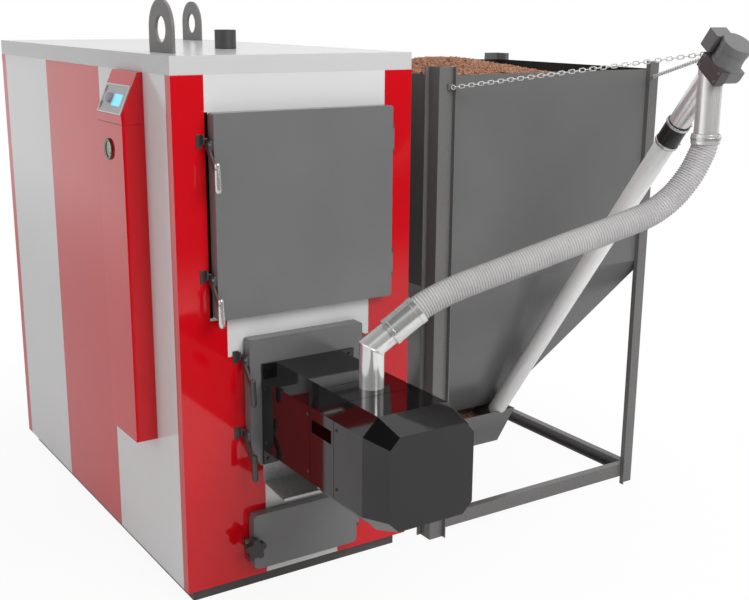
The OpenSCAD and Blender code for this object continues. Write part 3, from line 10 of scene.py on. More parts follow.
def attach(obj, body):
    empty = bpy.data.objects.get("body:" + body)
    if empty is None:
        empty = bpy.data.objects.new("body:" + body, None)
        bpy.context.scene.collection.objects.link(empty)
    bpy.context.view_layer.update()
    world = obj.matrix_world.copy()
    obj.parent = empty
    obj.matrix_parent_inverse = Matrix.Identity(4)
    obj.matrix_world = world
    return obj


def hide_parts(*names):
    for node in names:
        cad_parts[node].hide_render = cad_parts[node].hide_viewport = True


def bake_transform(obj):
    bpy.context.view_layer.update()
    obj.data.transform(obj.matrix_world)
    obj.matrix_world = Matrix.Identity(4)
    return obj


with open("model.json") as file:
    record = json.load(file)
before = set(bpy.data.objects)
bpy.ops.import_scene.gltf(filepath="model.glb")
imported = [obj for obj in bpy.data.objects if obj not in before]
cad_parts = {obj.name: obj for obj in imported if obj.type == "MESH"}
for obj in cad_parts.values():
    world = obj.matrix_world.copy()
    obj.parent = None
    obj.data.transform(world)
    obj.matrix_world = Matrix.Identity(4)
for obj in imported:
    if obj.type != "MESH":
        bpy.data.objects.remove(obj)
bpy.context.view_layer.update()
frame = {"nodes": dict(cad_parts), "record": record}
nodes = frame["nodes"]
scene = bpy.context.scene
FRONT = -0.7225


# Camera: the photograph's own place and lens, fitted on its edges

def make_camera():
    """The photograph's camera: its focal length in pixels, and its place and axes in the part's frame."""
    focal, photo_width, sensor = 1124.527, 749.0, 36.0
    data = bpy.data.cameras.new("photo_camera")
    cam = bpy.data.objects.new("photo_camera", data)
    scene.collection.objects.link(cam)
    data.sensor_width = sensor
    data.lens = focal * sensor / photo_width
    right = Vector((0.838848, -0.544312, 0.007645))
    down = Vector((-0.129715, -0.213506, -0.968292))
    ahead = Vector((0.528685, 0.811258, -0.249705))
    place = Vector((-1.423167, -3.269633, 1.558918))
    turn = Matrix((right, -down, -ahead)).transposed()
    cam.matrix_world = Matrix.Translation(place) @ turn.to_4x4()
    data.clip_start, data.clip_end = 0.05, 100
    scene.camera = cam


make_camera()


# Mesh helpers

def piece(name, bm, material, smooth=None):
    """Turns a bmesh into an object, flat shaded or smooth up to an angle in degrees."""
    mesh = bpy.data.meshes.new(name)
    bm.normal_update()
    bm.to_mesh(mesh)
    bm.free()
    obj = bpy.data.objects.new(name, mesh)
    scene.collection.objects.link(obj)
    mesh.materials.append(material)
    if smooth is not None:
        mesh.shade_smooth()
        mesh.set_sharp_from_angle(angle=math.radians(smooth))
    return obj


def frame_along(direction):
    """A turn that brings z to a direction."""
    z = Vector(direction).normalized()
    x = Vector((0, 0, 1)).cross(z) if abs(z.z) < 0.95 else Vector((1, 0, 0)).cross(z)
    x.normalize()
    return Matrix((x, z.cross(x), z)).transposed()


def skin(bm, loops, closed=False, caps=False):
    """Joins loops of vertices with quads: an open tube, a closed ring or a capped body."""
    pairs = list(zip(loops, loops[1:]))
    if closed:
        pairs.append((loops[-1], loops[0]))
    for low, high in pairs:
        for i in range(len(low)):
            j = (i + 1) % len(low)
            bm.faces.new((low[i], low[j], high[j], high[i]))
    if caps:
        bm.faces.new(list(reversed(loops[0])))
        bm.faces.new(loops[-1])


def revolve(bm, at, direction, profile, sides=32, hollow=False):
    """Turns a profile of (height, radius) pairs round a direction from a point, capped or closed as a ring."""
    turn = frame_along(direction)
    rings = []
    for h, r in profile:
        ring = []
        for i in range(sides):
            a = 2 * math.pi * i / sides
            ring.append(bm.verts.new(Vector(at) + turn @ Vector((r * math.cos(a), r * math.sin(a), h))))
        rings.append(ring)
    skin(bm, rings, closed=hollow, caps=not hollow)


def mm(x, y, z):
    """A point from millimetres, with y counted backwards from the boiler's front panel."""
    return Vector((x / 1000, FRONT + y / 1000, z / 1000))


def basis(origin, right, up):
    """A matrix whose x, y and z run right, up and out from an origin."""
    right, up = Vector(right), Vector(up)
    turn = Matrix((right, up, right.cross(up))).transposed()
    return Matrix.Translation(origin) @ turn.to_4x4()


def slab(bm, at, x0, x1, y0, y1, z0, z1):
    """A box between two corners of a local frame."""
    verts = [bm.verts.new(at @ Vector((x, y, z))) for z in (z0, z1) for x, y in
             ((x0, y0), (x1, y0), (x1, y1), (x0, y1))]
    for a, b, c, d in ((3, 2, 1, 0), (4, 5, 6, 7), (0, 1, 5, 4), (1, 2, 6, 5), (2, 3, 7, 6), (3, 0, 4, 7)):
        bm.faces.new((verts[a], verts[b], verts[c], verts[d]))


def fitted(name, bm, material, body="boiler", smooth=None):
    """Finishes a piece that rides on a body, with its material."""
    obj = piece(name, bm, material, smooth)
    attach(obj, body)
    return obj


# The feed line, shared by the hose, the elbow, the clamps and the gearbox

ELBOW = mm(5, -345, 763)
ELBOW_RISE = math.radians(37)
AUGER_FOOT = mm(928, 288, 230)
AUGER_RISE, AUGER_YAW = math.radians(52.9), math.radians(5.5)
AUGER_AXIS = Vector((-math.sin(AUGER_YAW) * math.cos(AUGER_RISE), -math.cos(AUGER_YAW) * math.cos(AUGER_RISE),
                     math.sin(AUGER_RISE)))
AUGER_SIDE = Vector((math.cos(AUGER_YAW), -math.sin(AUGER_YAW), 0))
DROP_REACH = 0.895
DROP = (AUGER_FOOT - DROP_REACH * Vector((math.sin(AUGER_YAW), math.cos(AUGER_YAW), 0))).xy
HOSE_END_Z = 1.2617
HOSE_R = 0.034


# Materials

def node_tree(name):
    """A new material, its node tree and its main shader."""
    mat = bpy.data.materials.new(name)
    mat.use_nodes = True
    tree = mat.node_tree
    return mat, tree, tree.nodes["Principled BSDF"]


def noise(tree, coords, scale, detail=3.0, rough=0.5):
    """Noise between 0 and 1, finer with a larger scale."""
    n = tree.nodes.new("ShaderNodeTexNoise")
    n.inputs["Scale"].default_value = scale
    n.inputs["Detail"].default_value = detail
    n.inputs["Roughness"].default_value = rough
    tree.links.new(coords, n.inputs["Vector"])
    return n.outputs["Fac"]


def remap(tree, value, low, high, from_low=0.25, from_high=0.75, ease="LINEAR"):
    """Carries a range of values to another one, clamped; the default range is what noise mostly gives."""
    n = tree.nodes.new("ShaderNodeMapRange")
    n.interpolation_type = ease
    for key, number in (("From Min", from_low), ("From Max", from_high), ("To Min", low), ("To Max", high)):
        n.inputs[key].default_value = number
    tree.links.new(value, n.inputs["Value"])
    return n.outputs["Result"]


def mixed(tree, factor, a, b, kind="MIX"):
    """A colour from a to b by a factor that is a number or a socket; a and b are colours or sockets."""
    n = tree.nodes.new("ShaderNodeMix")
    n.data_type = "RGBA"
    n.blend_type = kind
    for key, value in (("Factor", factor), ("A", a), ("B", b)):
        if isinstance(value, bpy.types.NodeSocket):
            tree.links.new(value, n.inputs[key])
        else:
            n.inputs[key].default_value = (*value, 1) if isinstance(value, tuple) else value
    return n.outputs["Result"]


def bumped(tree, height, distance, strength, normal=None):
    """A normal tilted by a height, on top of another normal where there is one."""
    n = tree.nodes.new("ShaderNodeBump")
    n.inputs["Distance"].default_value = distance
    n.inputs["Strength"].default_value = strength
    tree.links.new(height, n.inputs["Height"])
    if normal is not None:
        tree.links.new(normal, n.inputs["Normal"])
    return n.outputs["Normal"]


def dot_product(tree, a, b):
    """Of a socket with a socket or a plain vector."""
    n = tree.nodes.new("ShaderNodeVectorMath")
    n.operation = "DOT_PRODUCT"
    tree.links.new(a, n.inputs[0])
    if isinstance(b, bpy.types.NodeSocket):
        tree.links.new(b, n.inputs[1])
    else:
        n.inputs[1].default_value = b
    return n.outputs["Value"]


def tone(color, k):
    """A colour made lighter or darker."""
    return tuple(min(1.0, c * k) for c in color)


def object_coords(tree, stretch=None, turn=(0, 0, 0)):
    """Object coordinates, stretched along one axis of a turned frame."""
    coords = tree.nodes.new("ShaderNodeTexCoord").outputs["Object"]
    if stretch is None:
        return coords
    for kind, value in (("Rotation", turn), ("Scale", stretch)):
        n = tree.nodes.new("ShaderNodeMapping")
        n.inputs[kind].default_value = value
        tree.links.new(coords, n.inputs["Vector"])
        coords = n.outputs["Vector"]
    return coords


def finish(name, color, rough, metal=0.0, spread=0.05, broad=4.0, fine=500.0, grain=0.0002, rough_spread=0.05,
           edge=0.0012, edge_wear_and_highlight=1.25, stretch=None, turn=(0, 0, 0), specular=0.5):
    """A painted or metal surface: broad tone, fine grain in roughness and bump, and softened edges made lighter, as
    rubbed paint and as a painted highlight.
    """
    mat, tree, out = node_tree(name)
    coords = object_coords(tree, stretch, turn)
    base = mixed(tree, remap(tree, noise(tree, coords, broad), 0, 1), tone(color, 1 - spread), tone(color, 1 + spread))
    grain_value = noise(tree, coords, fine, 2.0)
    tree.links.new(remap(tree, grain_value, max(rough - rough_spread, 0.02), rough + rough_spread),
                   out.inputs["Roughness"])
    soft = tree.nodes.new("ShaderNodeBevel")
    soft.samples = 4
    soft.inputs["Radius"].default_value = edge
    rounded = soft.outputs["Normal"]
    tree.links.new(bumped(tree, grain_value, grain, 0.5, rounded), out.inputs["Normal"])
    # edges lighter by a factor: rubbed paint and a painted highlight along them
    if edge_wear_and_highlight != 1.0:
        face = tree.nodes.new("ShaderNodeNewGeometry").outputs["Normal"]
        at_edge = remap(tree, dot_product(tree, rounded, face), 1.0, 0.0, 0.8, 1.0)
        base = mixed(tree, at_edge, base, tone(color, edge_wear_and_highlight))
    tree.links.new(base, out.inputs["Base Color"])
    out.inputs["Metallic"].default_value = metal
    out.inputs["Specular IOR Level"].default_value = specular
    return mat


M = {
    "white_sheet": finish("white_sheet", (0.70, 0.70, 0.70), 0.16, spread=0.015, grain=0.00003),
    # painted shade: the lid is the white sheet made darker and duller on the top
    "lid_painted_shade": finish("lid_painted_shade", (0.60, 0.60, 0.60), 0.20, spread=0.015, grain=0.00003, specular=0.22),
    "red_sheet": finish("red_sheet", (0.62, 0.003, 0.009), 0.07, spread=0.03, grain=0.00001, rough_spread=0.02,
                        edge_wear_and_highlight=1.0),
    "door_paint": finish("door_paint", (0.168, 0.168, 0.169), 0.20, spread=0.05, grain=0.00008),
    "plinth_paint": finish("plinth_paint", (0.075, 0.068, 0.066), 0.55, spread=0.10),
    "vessel_steel": finish("vessel_steel", (0.10, 0.10, 0.105), 0.6, metal=0.2, spread=0.15, broad=7),
    "fire_steel": finish("fire_steel", (0.10, 0.085, 0.075), 0.7, metal=0.3, spread=0.25, broad=12),
    "wool": finish("wool", (0.55, 0.46, 0.28), 0.95, spread=0.12, broad=60, fine=300, grain=0.002, edge_wear_and_highlight=1.0),
    "eye_steel": finish("eye_steel", (0.19, 0.185, 0.18), 0.5, metal=0.1, spread=0.12),
    "pipe_black": finish("pipe_black", (0.060, 0.060, 0.060), 0.5, metal=0.1, spread=0.12),
    "lining": finish("lining", (0.58, 0.53, 0.44), 0.95, spread=0.10, broad=40, fine=260, grain=0.001, edge_wear_and_highlight=1.0),
    "latch_steel": finish("latch_steel", (0.07, 0.068, 0.068), 0.30, metal=0.3, spread=0.12, broad=25),
    "bright_steel": finish("bright_steel", (0.62, 0.62, 0.61), 0.26, metal=0.75, spread=0.06, broad=40),
    "burner_gloss": finish("burner_gloss", (0.008, 0.0075, 0.0075), 0.06, spread=0.2, grain=0.00001, rough_spread=0.02,
                           edge=0.0008, edge_wear_and_highlight=2.0),
    "fan_alloy": finish("fan_alloy", (0.55, 0.56, 0.57), 0.35, metal=0.9, spread=0.06),
    "motor_grey": finish("motor_grey", (0.155, 0.153, 0.153), 0.38, spread=0.06),
    "shelf_steel": finish("shelf_steel", (0.46, 0.455, 0.455), 0.26, metal=0.4, spread=0.05),
    "pipe_galv": finish("pipe_galv", (0.84, 0.84, 0.83), 0.15, metal=0.60, spread=0.07, broad=70, fine=260,
                        grain=0.00003, rough_spread=0.05, stretch=(1, 1, 0.06)),
    "tube_galv": finish("tube_galv", (0.94, 0.935, 0.93), 0.30, spread=0.06, broad=60, fine=240, grain=0.00004,
                        rough_spread=0.06, stretch=(1, 1, 0.05), turn=(AUGER_RISE - math.pi / 2, 0, AUGER_YAW)),
    "drop_galv": finish("drop_galv", (0.80, 0.79, 0.785), 0.24, metal=0.60, spread=0.07, broad=60, fine=240,
                        grain=0.00003, rough_spread=0.05, stretch=(1, 1, 0.06)),
    "cuff_galv": finish("cuff_galv", (0.74, 0.735, 0.73), 0.20, metal=0.75, spread=0.07, broad=30, grain=0.00005),
    "knob_black": finish("knob_black", (0.035, 0.033, 0.032), 0.5, spread=0.1),
    "hopper_paint": finish("hopper_paint", (0.150, 0.150, 0.149), 0.22, spread=0.05, grain=0.0001),
    "post_paint": finish("post_paint", (0.158, 0.154, 0.152), 0.28, spread=0.05, grain=0.0001),
    "sleeve_rubber": finish("sleeve_rubber", (0.012, 0.011, 0.011), 0.28, spread=0.3, broad=30),
    "screw_steel": finish("screw_steel", (0.45, 0.45, 0.44), 0.35, metal=0.9, spread=0.12, broad=30),
    "gear_paint": finish("gear_paint", (0.072, 0.056, 0.054), 0.42, spread=0.10, broad=15),
    "chain_zinc": finish("chain_zinc", (0.70, 0.69, 0.68), 0.25, metal=0.7, spread=0.08, broad=60),
    "fascia_grey": finish("fascia_grey", (0.42, 0.42, 0.43), 0.38, spread=0.02),
    "rim_white": finish("rim_white", (0.72, 0.72, 0.72), 0.35, spread=0.02),
    "knob_grey": finish("knob_grey", (0.30, 0.27, 0.34), 0.42, spread=0.05),
    "gauge_case": finish("gauge_case", (0.045, 0.048, 0.036), 0.30, spread=0.1, edge_wear_and_highlight=1.0),
    "dial_face": finish("dial_face", (0.86, 0.90, 0.78), 0.45, spread=0.02, edge_wear_and_highlight=1.0),
    # dark joints between the burner's covers, and painted shadow in the upper door's gap
    "dark_seam_and_gap_shadow": finish("dark_seam_and_gap_shadow", (0.006, 0.005, 0.005), 0.5, spread=0.2, edge_wear_and_highlight=1.0, specular=0.02),
    # painted shade for the burner's recess
    "recess_painted_shade": finish("recess_painted_shade", (0.012, 0.002, 0.003), 0.5, spread=0.2, edge_wear_and_highlight=1.0, specular=0.0),
    # painted shade inside the hopper
    "hopper_inside_painted_shade": finish("hopper_inside_painted_shade", (0.020, 0.018, 0.018), 0.55, spread=0.15, edge_wear_and_highlight=1.0, specular=0.2),
    "dial_print": finish("dial_print", (0.03, 0.03, 0.035), 0.5, spread=0.05, edge_wear_and_highlight=1.0),
    "needle_red": finish("needle_red", (0.50, 0.008, 0.008), 0.35, spread=0.05),
    "display_blue": finish("display_blue", (0.14, 0.46, 0.88), 0.18, spread=0.05, broad=60),
    "pellet_wood": finish("pellet_wood", (0.25, 0.13, 0.075), 0.9, spread=0.35, broad=120, fine=160,
                          grain=0.004, edge_wear_and_highlight=1.0),
}
M["hood_paint"] = M["burner_gloss"]
screen = M["display_blue"].node_tree.nodes["Principled BSDF"].inputs
screen["Emission Color"].default_value = (0.13, 0.60, 1.0, 1)
screen["Emission Strength"].default_value = 0.75


def loose_wood():
    """Pressed wood: each pellet has its own tone, with fine fibres."""
    mat, tree, out = node_tree("pellet_loose")
    coords = object_coords(tree)
    own = tree.nodes.new("ShaderNodeNewGeometry").outputs["Random Per Island"]
    ramp = tree.nodes.new("ShaderNodeValToRGB")
    ramp.color_ramp.elements[0].color = (0.32, 0.145, 0.086, 1)
    ramp.color_ramp.elements[1].color = (0.53, 0.275, 0.175, 1)
    middle = ramp.color_ramp.elements.new(0.55)
    middle.color = (0.42, 0.205, 0.125, 1)
    tree.links.new(own, ramp.inputs["Fac"])
    fibre = noise(tree, coords, 700.0, 3.0)
    grey = mixed(tree, remap(tree, fibre, 0, 1), (0.6, 0.6, 0.6), (1, 1, 1))
    tree.links.new(mixed(tree, 0.5, ramp.outputs["Color"], grey, "MULTIPLY"), out.inputs["Base Color"])
    tree.links.new(bumped(tree, fibre, 0.0006, 0.6), out.inputs["Normal"])
    out.inputs["Roughness"].default_value = 0.85
    return mat


def clear_glass():
    """Thin clear window with faint smudges in its gloss."""
    mat, tree, out = node_tree("clear_glass")
    coords = object_coords(tree)
    tree.links.new(remap(tree, noise(tree, coords, 120.0), 0.02, 0.06), out.inputs["Roughness"])
    out.inputs["Base Color"].default_value = (0.9, 0.92, 0.9, 1)
    out.inputs["Alpha"].default_value = 0.10
    return mat


def hose_material():
    """Milky plastic: pale, a little clear, with faint lengthways cloudiness."""
    mat, tree, out = node_tree("hose_clear")
    coords = object_coords(tree)
    cloud = noise(tree, coords, 14.0, 4.0)
    tree.links.new(mixed(tree, remap(tree, cloud, 0, 1), (0.49, 0.478, 0.48), (0.58, 0.568, 0.57)),
                   out.inputs["Base Color"])
    fine = noise(tree, coords, 400.0, 2.0)
    tree.links.new(remap(tree, fine, 0.28, 0.42), out.inputs["Roughness"])
    tree.links.new(bumped(tree, fine, 0.0002, 0.5), out.inputs["Normal"])
    out.inputs["Transmission Weight"].default_value = 0.15
    out.inputs["IOR"].default_value = 1.45
    return mat


M["pellet_loose"] = loose_wood()
M["clear_glass"] = clear_glass()
M["hose_clear"] = hose_material()

# Each node takes its record's slot, apart from three: the lid takes a darker, duller copy of the white sheet as painted
# shade, and the auger tube and the drop pipe take brushed galvanising of their own
PAINT = {"casing_top": "lid_painted_shade", "auger_tube": "tube_galv", "outlet_tee": "drop_galv"}
for row in frame["record"]["subparts"]:
    obj = nodes[row["node"]]
    obj.data.materials.clear()
    obj.data.materials.append(M[PAINT.get(row["node"], row["material_slot"])])


# Feed hose: the route read off the photograph, in millimetres, as distance from the elbow in plan and height

def hose_route():
    """The hose's middle line as points, and the level direction across it."""
    run = (DROP - ELBOW.xy).length
    plan = (DROP - ELBOW.xy) / run
    lean = Vector((math.cos(ELBOW_RISE), math.sin(ELBOW_RISE)))
    pipe_end, cuff = 0.0803, 0.068
    start = Vector((0, ELBOW.z)) + pipe_end * lean
    middle = [(172, 881), (225, 902), (277, 919), (329, 935), (382, 952), (435, 968), (488, 985), (542, 1001),
              (597, 1017), (651, 1034), (706, 1052), (739, 1066), (767, 1083), (796, 1106), (821, 1133),
              (844, 1165), (862, 1200)]
    pts = [start, start + cuff * lean] + [Vector(p) / 1000 for p in middle]
    pts += [Vector((run - 0.0015, HOSE_END_Z - 0.0257)), Vector((run, HOSE_END_Z))]
    last = len(pts) - 1

    def tangent(i):
        if i < 2:
            return lean
        if i > last - 2:
            return Vector((0, 1))
        return (pts[i + 1] - pts[i - 1]).normalized()

    steps = 8
    route = []
    for i in range(last):
        p, q = pts[i], pts[i + 1]
        length = (q - p).length
        for k in range(steps + (i == last - 1)):
            u = k / steps
            at = ((2 * u ** 3 - 3 * u ** 2 + 1) * p + (u ** 3 - 2 * u ** 2 + u) * length * tangent(i)
                  + (3 * u ** 2 - 2 * u ** 3) * q + (u ** 3 - u ** 2) * length * tangent(i + 1))
            route.append(Vector((ELBOW.x + plan.x * at.x, ELBOW.y + plan.y * at.x, at.y)))
    return route, Vector((-plan.y, plan.x, 0))


def make_hose():
    """A ribbed tube round the route, ribs 7 mm apart, from the burner door to the boiler."""
    pitch, rib = 0.007, 0.0022
    route, side = hose_route()
    lengths = [0.0]
    for a, b in zip(route, route[1:]):
        lengths.append(lengths[-1] + (b - a).length)
    total = lengths[-1]
    ribs = round(total / pitch)
    per_rib, sides = 6, 28
    bm = bmesh.new()
    rings = []
    seg = 0
    for k in range(ribs * per_rib + 1):
        s = min(total * k / (ribs * per_rib), total - 1e-9)
        while lengths[seg + 1] < s:
            seg += 1
        u = (s - lengths[seg]) / (lengths[seg + 1] - lengths[seg])
        at = route[seg].lerp(route[seg + 1], u)
        before = route[max(seg - 1, 0)]
        after = route[min(seg + 2, len(route) - 1)]
        along = (after - before).normalized()
        up = along.cross(side).normalized()
        phase = (k % per_rib) / per_rib
        crest = max(0.0, math.cos(2 * math.pi * (phase - 0.5))) ** 0.7
        r = HOSE_R - rib + rib * crest
        rings.append([bm.verts.new(at + r * (side * math.cos(t) + up * math.sin(t)))
                      for t in (2 * math.pi * i / sides for i in range(sides))])
    skin(bm, rings)
    bmesh.ops.recalc_face_normals(bm, faces=bm.faces)
    hose = piece("ribbed_hose", bm, M["hose_clear"], smooth=60)
    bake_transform(hose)
    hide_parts("feed_hose")


make_hose()


# Gauge: a dial with marks under glass, in its frame on the console's side

GAUGE = basis(mm(-410, 269, 1206), (0, -1, 0), (0, 0, 1))
DIAL_START, DIAL_SWEEP = 225, 270   # degrees, clockwise


def text_faces(bm, at, body, size, x, y, z):
    """Adds a number, centred at x, y in a local frame, as thin raised faces."""
    curve = bpy.data.curves.new("number", "FONT")
    curve.body, curve.size, curve.extrude = body, size, 0.00004
    curve.align_x, curve.align_y = "CENTER", "CENTER"
    holder = bpy.data.objects.new("number", curve)
    mesh = bpy.data.meshes.new_from_object(holder)
    mesh.transform(at @ Matrix.Translation((x, y, z)))
    bm.from_mesh(mesh)
    bpy.data.objects.remove(holder)
    bpy.data.meshes.remove(mesh)
    bpy.data.curves.remove(curve)


def make_gauge():
    """The dial in its cup with a pale lining, the print, a red arc, the domed glass and the bezel."""
    out = GAUGE.to_3x3() @ Vector((0, 0, 1))
    centre = GAUGE.translation
    dial = -0.00785   # height of the dial's face over the frame, down in the cup
    bm = bmesh.new()
    revolve(bm, centre, out, [(-0.00805, 0.0228), (dial, 0.0228)], 64)
    revolve(bm, centre, out, [(dial, 0.0228), (-0.0014, 0.0228), (-0.0014, 0.0224), (dial, 0.0224)], 64, hollow=True)
    revolve(bm, centre, out, [(0.0046, 0.0262), (0.0055, 0.0261), (0.0036, 0.0226), (0.0030, 0.0230)], 64, hollow=True)
    fitted("gauge_dial", bm, M["dial_face"])
    bm = bmesh.new()
    marks, numbers = 60, 6
    for k in range(marks + 1):
        spoke = Matrix.Rotation(math.radians(DIAL_START - DIAL_SWEEP * k / marks), 4, "Z")
        inner, half = (0.0185, 0.00026) if k % 5 == 0 else (0.0200, 0.00013)
        slab(bm, GAUGE @ spoke, inner, 0.0218, -half, half, dial, dial + 0.00008)
    for k in range(numbers + 1):
        a = math.radians(DIAL_START - DIAL_SWEEP * k / numbers)
        text_faces(bm, GAUGE, str(20 * k), 0.0048, 0.0150 * math.cos(a), 0.0150 * math.sin(a), dial + 0.00004)
    fitted("gauge_marks", bm, M["dial_print"])
    bm = bmesh.new()
    rim = []
    for k in range(17):
        a = math.radians(DIAL_START - DIAL_SWEEP + 3.5 * k)
        rim.append([bm.verts.new(GAUGE @ Vector((r * math.cos(a), r * math.sin(a), z)))
                    for r, z in ((0.0219, dial), (0.0219, dial + 0.0001), (0.0227, dial + 0.0001), (0.0227, dial))])
    skin(bm, rim, caps=True)
    fitted("gauge_red_arc", bm, M["needle_red"])
    bm = bmesh.new()
    revolve(bm, centre, out, [(-0.0012, 0.0229), (0.0012, 0.0229), (0.0018, 0.0215), (0.0024, 0.0150), (0.0027, 0.0070),
                              (0.0028, 0.0005)], 64)
    fitted("gauge_glass", bm, M["clear_glass"], smooth=50)
    bm = bmesh.new()
    revolve(bm, centre, out, [(0.0030, 0.0281), (0.0044, 0.0279), (0.0052, 0.0268), (0.0053, 0.0256), (0.0046, 0.0240),
                              (0.0022, 0.0228), (0.0010, 0.0231), (0.0034, 0.0245)], 64, hollow=True)
    fitted("gauge_bezel", bm, M["gauge_case"], smooth=50)


make_gauge()


# Console: rim, keys and scale on the sloping fascia

SLOPE = math.atan(47 / 107)
FASCIA = basis(mm(-411, 0, 1297), (0, -1, 0), (math.sin(SLOPE), 0, math.cos(SLOPE)))


def make_console_details():
    """The fascia's pale rim, the column of keys and the knob's scale."""
    x0, x1, y0, y1, top = -0.337, -0.177, 0.001, 0.079, 0.0030
    key_x, half_length, half_width = -0.3255, 0.0048, 0.0014
    bm = bmesh.new()
    loops = []
    for inset, z in ((0, top - 0.0004), (0.0003, top + 0.0008), (0.0026, top + 0.0008), (0.0032, top - 0.0004)):
        loops.append([bm.verts.new(FASCIA @ Vector(p + (z,))) for p in
                      ((x0 + inset, y0 + inset), (x1 - inset, y0 + inset), (x1 - inset, y1 - inset),
                       (x0 + inset, y1 - inset))])
    skin(bm, loops, closed=True)
    fitted("fascia_rim", bm, M["rim_white"])
    bm = bmesh.new()
    for y in (0.0130, 0.0180, 0.0230, 0.0280, 0.0590, 0.0640, 0.0690):
        at = FASCIA @ Matrix.Translation((key_x, y, top))
        loops = []
        for inset, z in ((0, -0.0003), (0, 0.0007), (0.0004, 0.0011)):
            loops.append([bm.verts.new(at @ Vector((sx * (half_length - inset), sy * (half_width - inset), z)))
                          for sx, sy in ((-1, -1), (1, -1), (1, 1), (-1, 1))])
        skin(bm, loops, caps=True)
    fitted("fascia_keys", bm, M["knob_black"])
    bm = bmesh.new()
    knob = FASCIA @ Matrix.Translation((-0.279, 0.041, top))
    for k in range(11):
        spoke = Matrix.Rotation(math.radians(240 - 30 * k), 4, "Z")
        slab(bm, knob @ spoke, 0.0150, 0.0172 if k % 5 else 0.0182, -0.0003, 0.0003, -0.0002, 0.0001)
    fitted("fascia_marks", bm, M["dial_print"])


make_console_details()


# Latch grips: a tapered handle over each lever's end, bright on the upper door and dark on the burner's

def make_grips():
    """Handles that hang from the levers and lean 3 degrees to the front."""
    lean = math.radians(177)
    down = Vector((0, -math.sin(lean), math.cos(lean)))
    hang, ahead = 44, -62
    for name, body, x, z, slot in [
            ("upper_grip_top", "upper_latch_1", -261.3, 1235, "bright_steel"),
            ("upper_grip_bottom", "upper_latch_2", -261.3, 895, "bright_steel"),
            ("burner_grip_top", "burner_latch_1", -176.8, 670, "latch_steel"),
            ("burner_grip_bottom", "burner_latch_2", -176.8, 460, "latch_steel")]:
        bm = bmesh.new()
        revolve(bm, mm(x, ahead, z - hang), down, [
            (-0.0062, 0.0020), (-0.0060, 0.0045), (-0.0035, 0.0066), (0.0, 0.0074), (0.0025, 0.0070), (0.0045, 0.0072),
            (0.0300, 0.0079), (0.0560, 0.0083), (0.0625, 0.0080), (0.0668, 0.0064), (0.0692, 0.0038),
            (0.0700, 0.0012)], 28)
        fitted(name, bm, M[slot], body, smooth=40)


make_grips()


# Burner: dark seams between its covers, and small screws

def make_burner_details():
    """Two seams, a near-black sheet over the recess as painted shade, and pan screws along both sides."""
    bm = bmesh.new()
    half, cut, middle_z, corner = 140, 98, 522, 0.414   # corner: tangent of 22.5 degrees
    for y in (-293, -406):
        loops = []
        for grow, dy in ((-0.6, -0.7), (0.18, -0.7), (0.18, 0.7), (-0.6, 0.7)):
            w = half + grow
            c = cut + grow * corner
            loops.append([bm.verts.new(mm(px, y + dy, middle_z + pz)) for px, pz in
                          ((w, c), (c, w), (-c, w), (-w, c), (-w, -c), (-c, -w), (c, -w), (w, -c))])
        skin(bm, loops, closed=True)
    bmesh.ops.recalc_face_normals(bm, faces=bm.faces)
    fitted("burner_seams", bm, M["dark_seam_and_gap_shadow"], "burner_door_leaf")
    bm = bmesh.new()
    # painted shade: a near-black, glossless sheet on the side where the recess's shade falls
    slab(bm, Matrix.Translation(mm(0, 0, 0)), -0.1387, -0.1378, -0.3945, -0.2945, 0.5565, 0.5915)
    fitted("recess_painted_shadow", bm, M["recess_painted_shade"], "burner_door_leaf")
    bm = bmesh.new()
    for side in (-1, 1):
        for y, z in ((-418, 600), (-418, 450), (-283, 600), (-283, 450), (-60, 600), (-60, 450)):
            revolve(bm, mm(side * (half - 0.2), y, z), (side, 0, 0),
                    [(0, 0.0044), (0.0012, 0.0044), (0.0022, 0.0036), (0.0026, 0.0020), (0.0014, 0.0018),
                     (0.0013, 0.0004)], 20)
    fitted("burner_screws", bm, M["knob_black"], "burner_door_leaf", smooth=40)


make_burner_details()


# Inlet pipe: a mitred elbow with a rolled seam, and the chute inside the burner

def make_inlet():
    """The elbow in rings from the burner's top to the cuff, mitred at the bend, and the chute below it."""
    plan = (DROP - ELBOW.xy).normalized().to_3d()
    lean = plan * math.cos(ELBOW_RISE) + Vector((0, 0, math.sin(ELBOW_RISE)))
    up = Vector((0, 0, 1))
    side = plan.cross(up)
    cut_plane = (up + lean).normalized()
    sides, r, seam, bore = 48, 0.0310, 0.0318, 0.0290
    bm = bmesh.new()

    def ring(at, axis, radius, mitre=False):
        across = side.cross(axis)
        verts = []
        for i in range(sides):
            a = 2 * math.pi * i / sides
            o = radius * (math.cos(a) * side + math.sin(a) * across)
            if mitre:
                o -= axis * (o.dot(cut_plane) / axis.dot(cut_plane))
            verts.append(bm.verts.new(at + o))
        return verts

    rings = [ring(ELBOW - 0.181 * up, up, r - 0.0005), ring(ELBOW - 0.095 * up, up, r),
             ring(ELBOW - 0.0035 * up, up, r, True), ring(ELBOW - 0.0022 * up, up, seam, True),
             ring(ELBOW + 0.0008 * up, up, seam, True), ring(ELBOW + 0.0020 * lean, lean, r, True),
             ring(ELBOW + 0.040 * lean, lean, r), ring(ELBOW + 0.080 * lean, lean, r),
             ring(ELBOW + 0.080 * lean, lean, bore + 0.0002), ring(ELBOW + 0.030 * lean, lean, bore)]
    skin(bm, rings, caps=True)
    bmesh.ops.recalc_face_normals(bm, faces=bm.faces)
    top, low_end = mm(5, -345, 582), mm(5, -119, 549)
    revolve(bm, top, low_end - top, [(0, 0.0300), ((low_end - top).length, 0.0300)], 32)
    pipe = fitted("inlet_elbow", bm, M["pipe_galv"], "burner_door_leaf", smooth=32)
    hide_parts("inlet_pipe")


make_inlet()


# Auger: bright clamp bands with worm screws on the sleeve and the hose's end

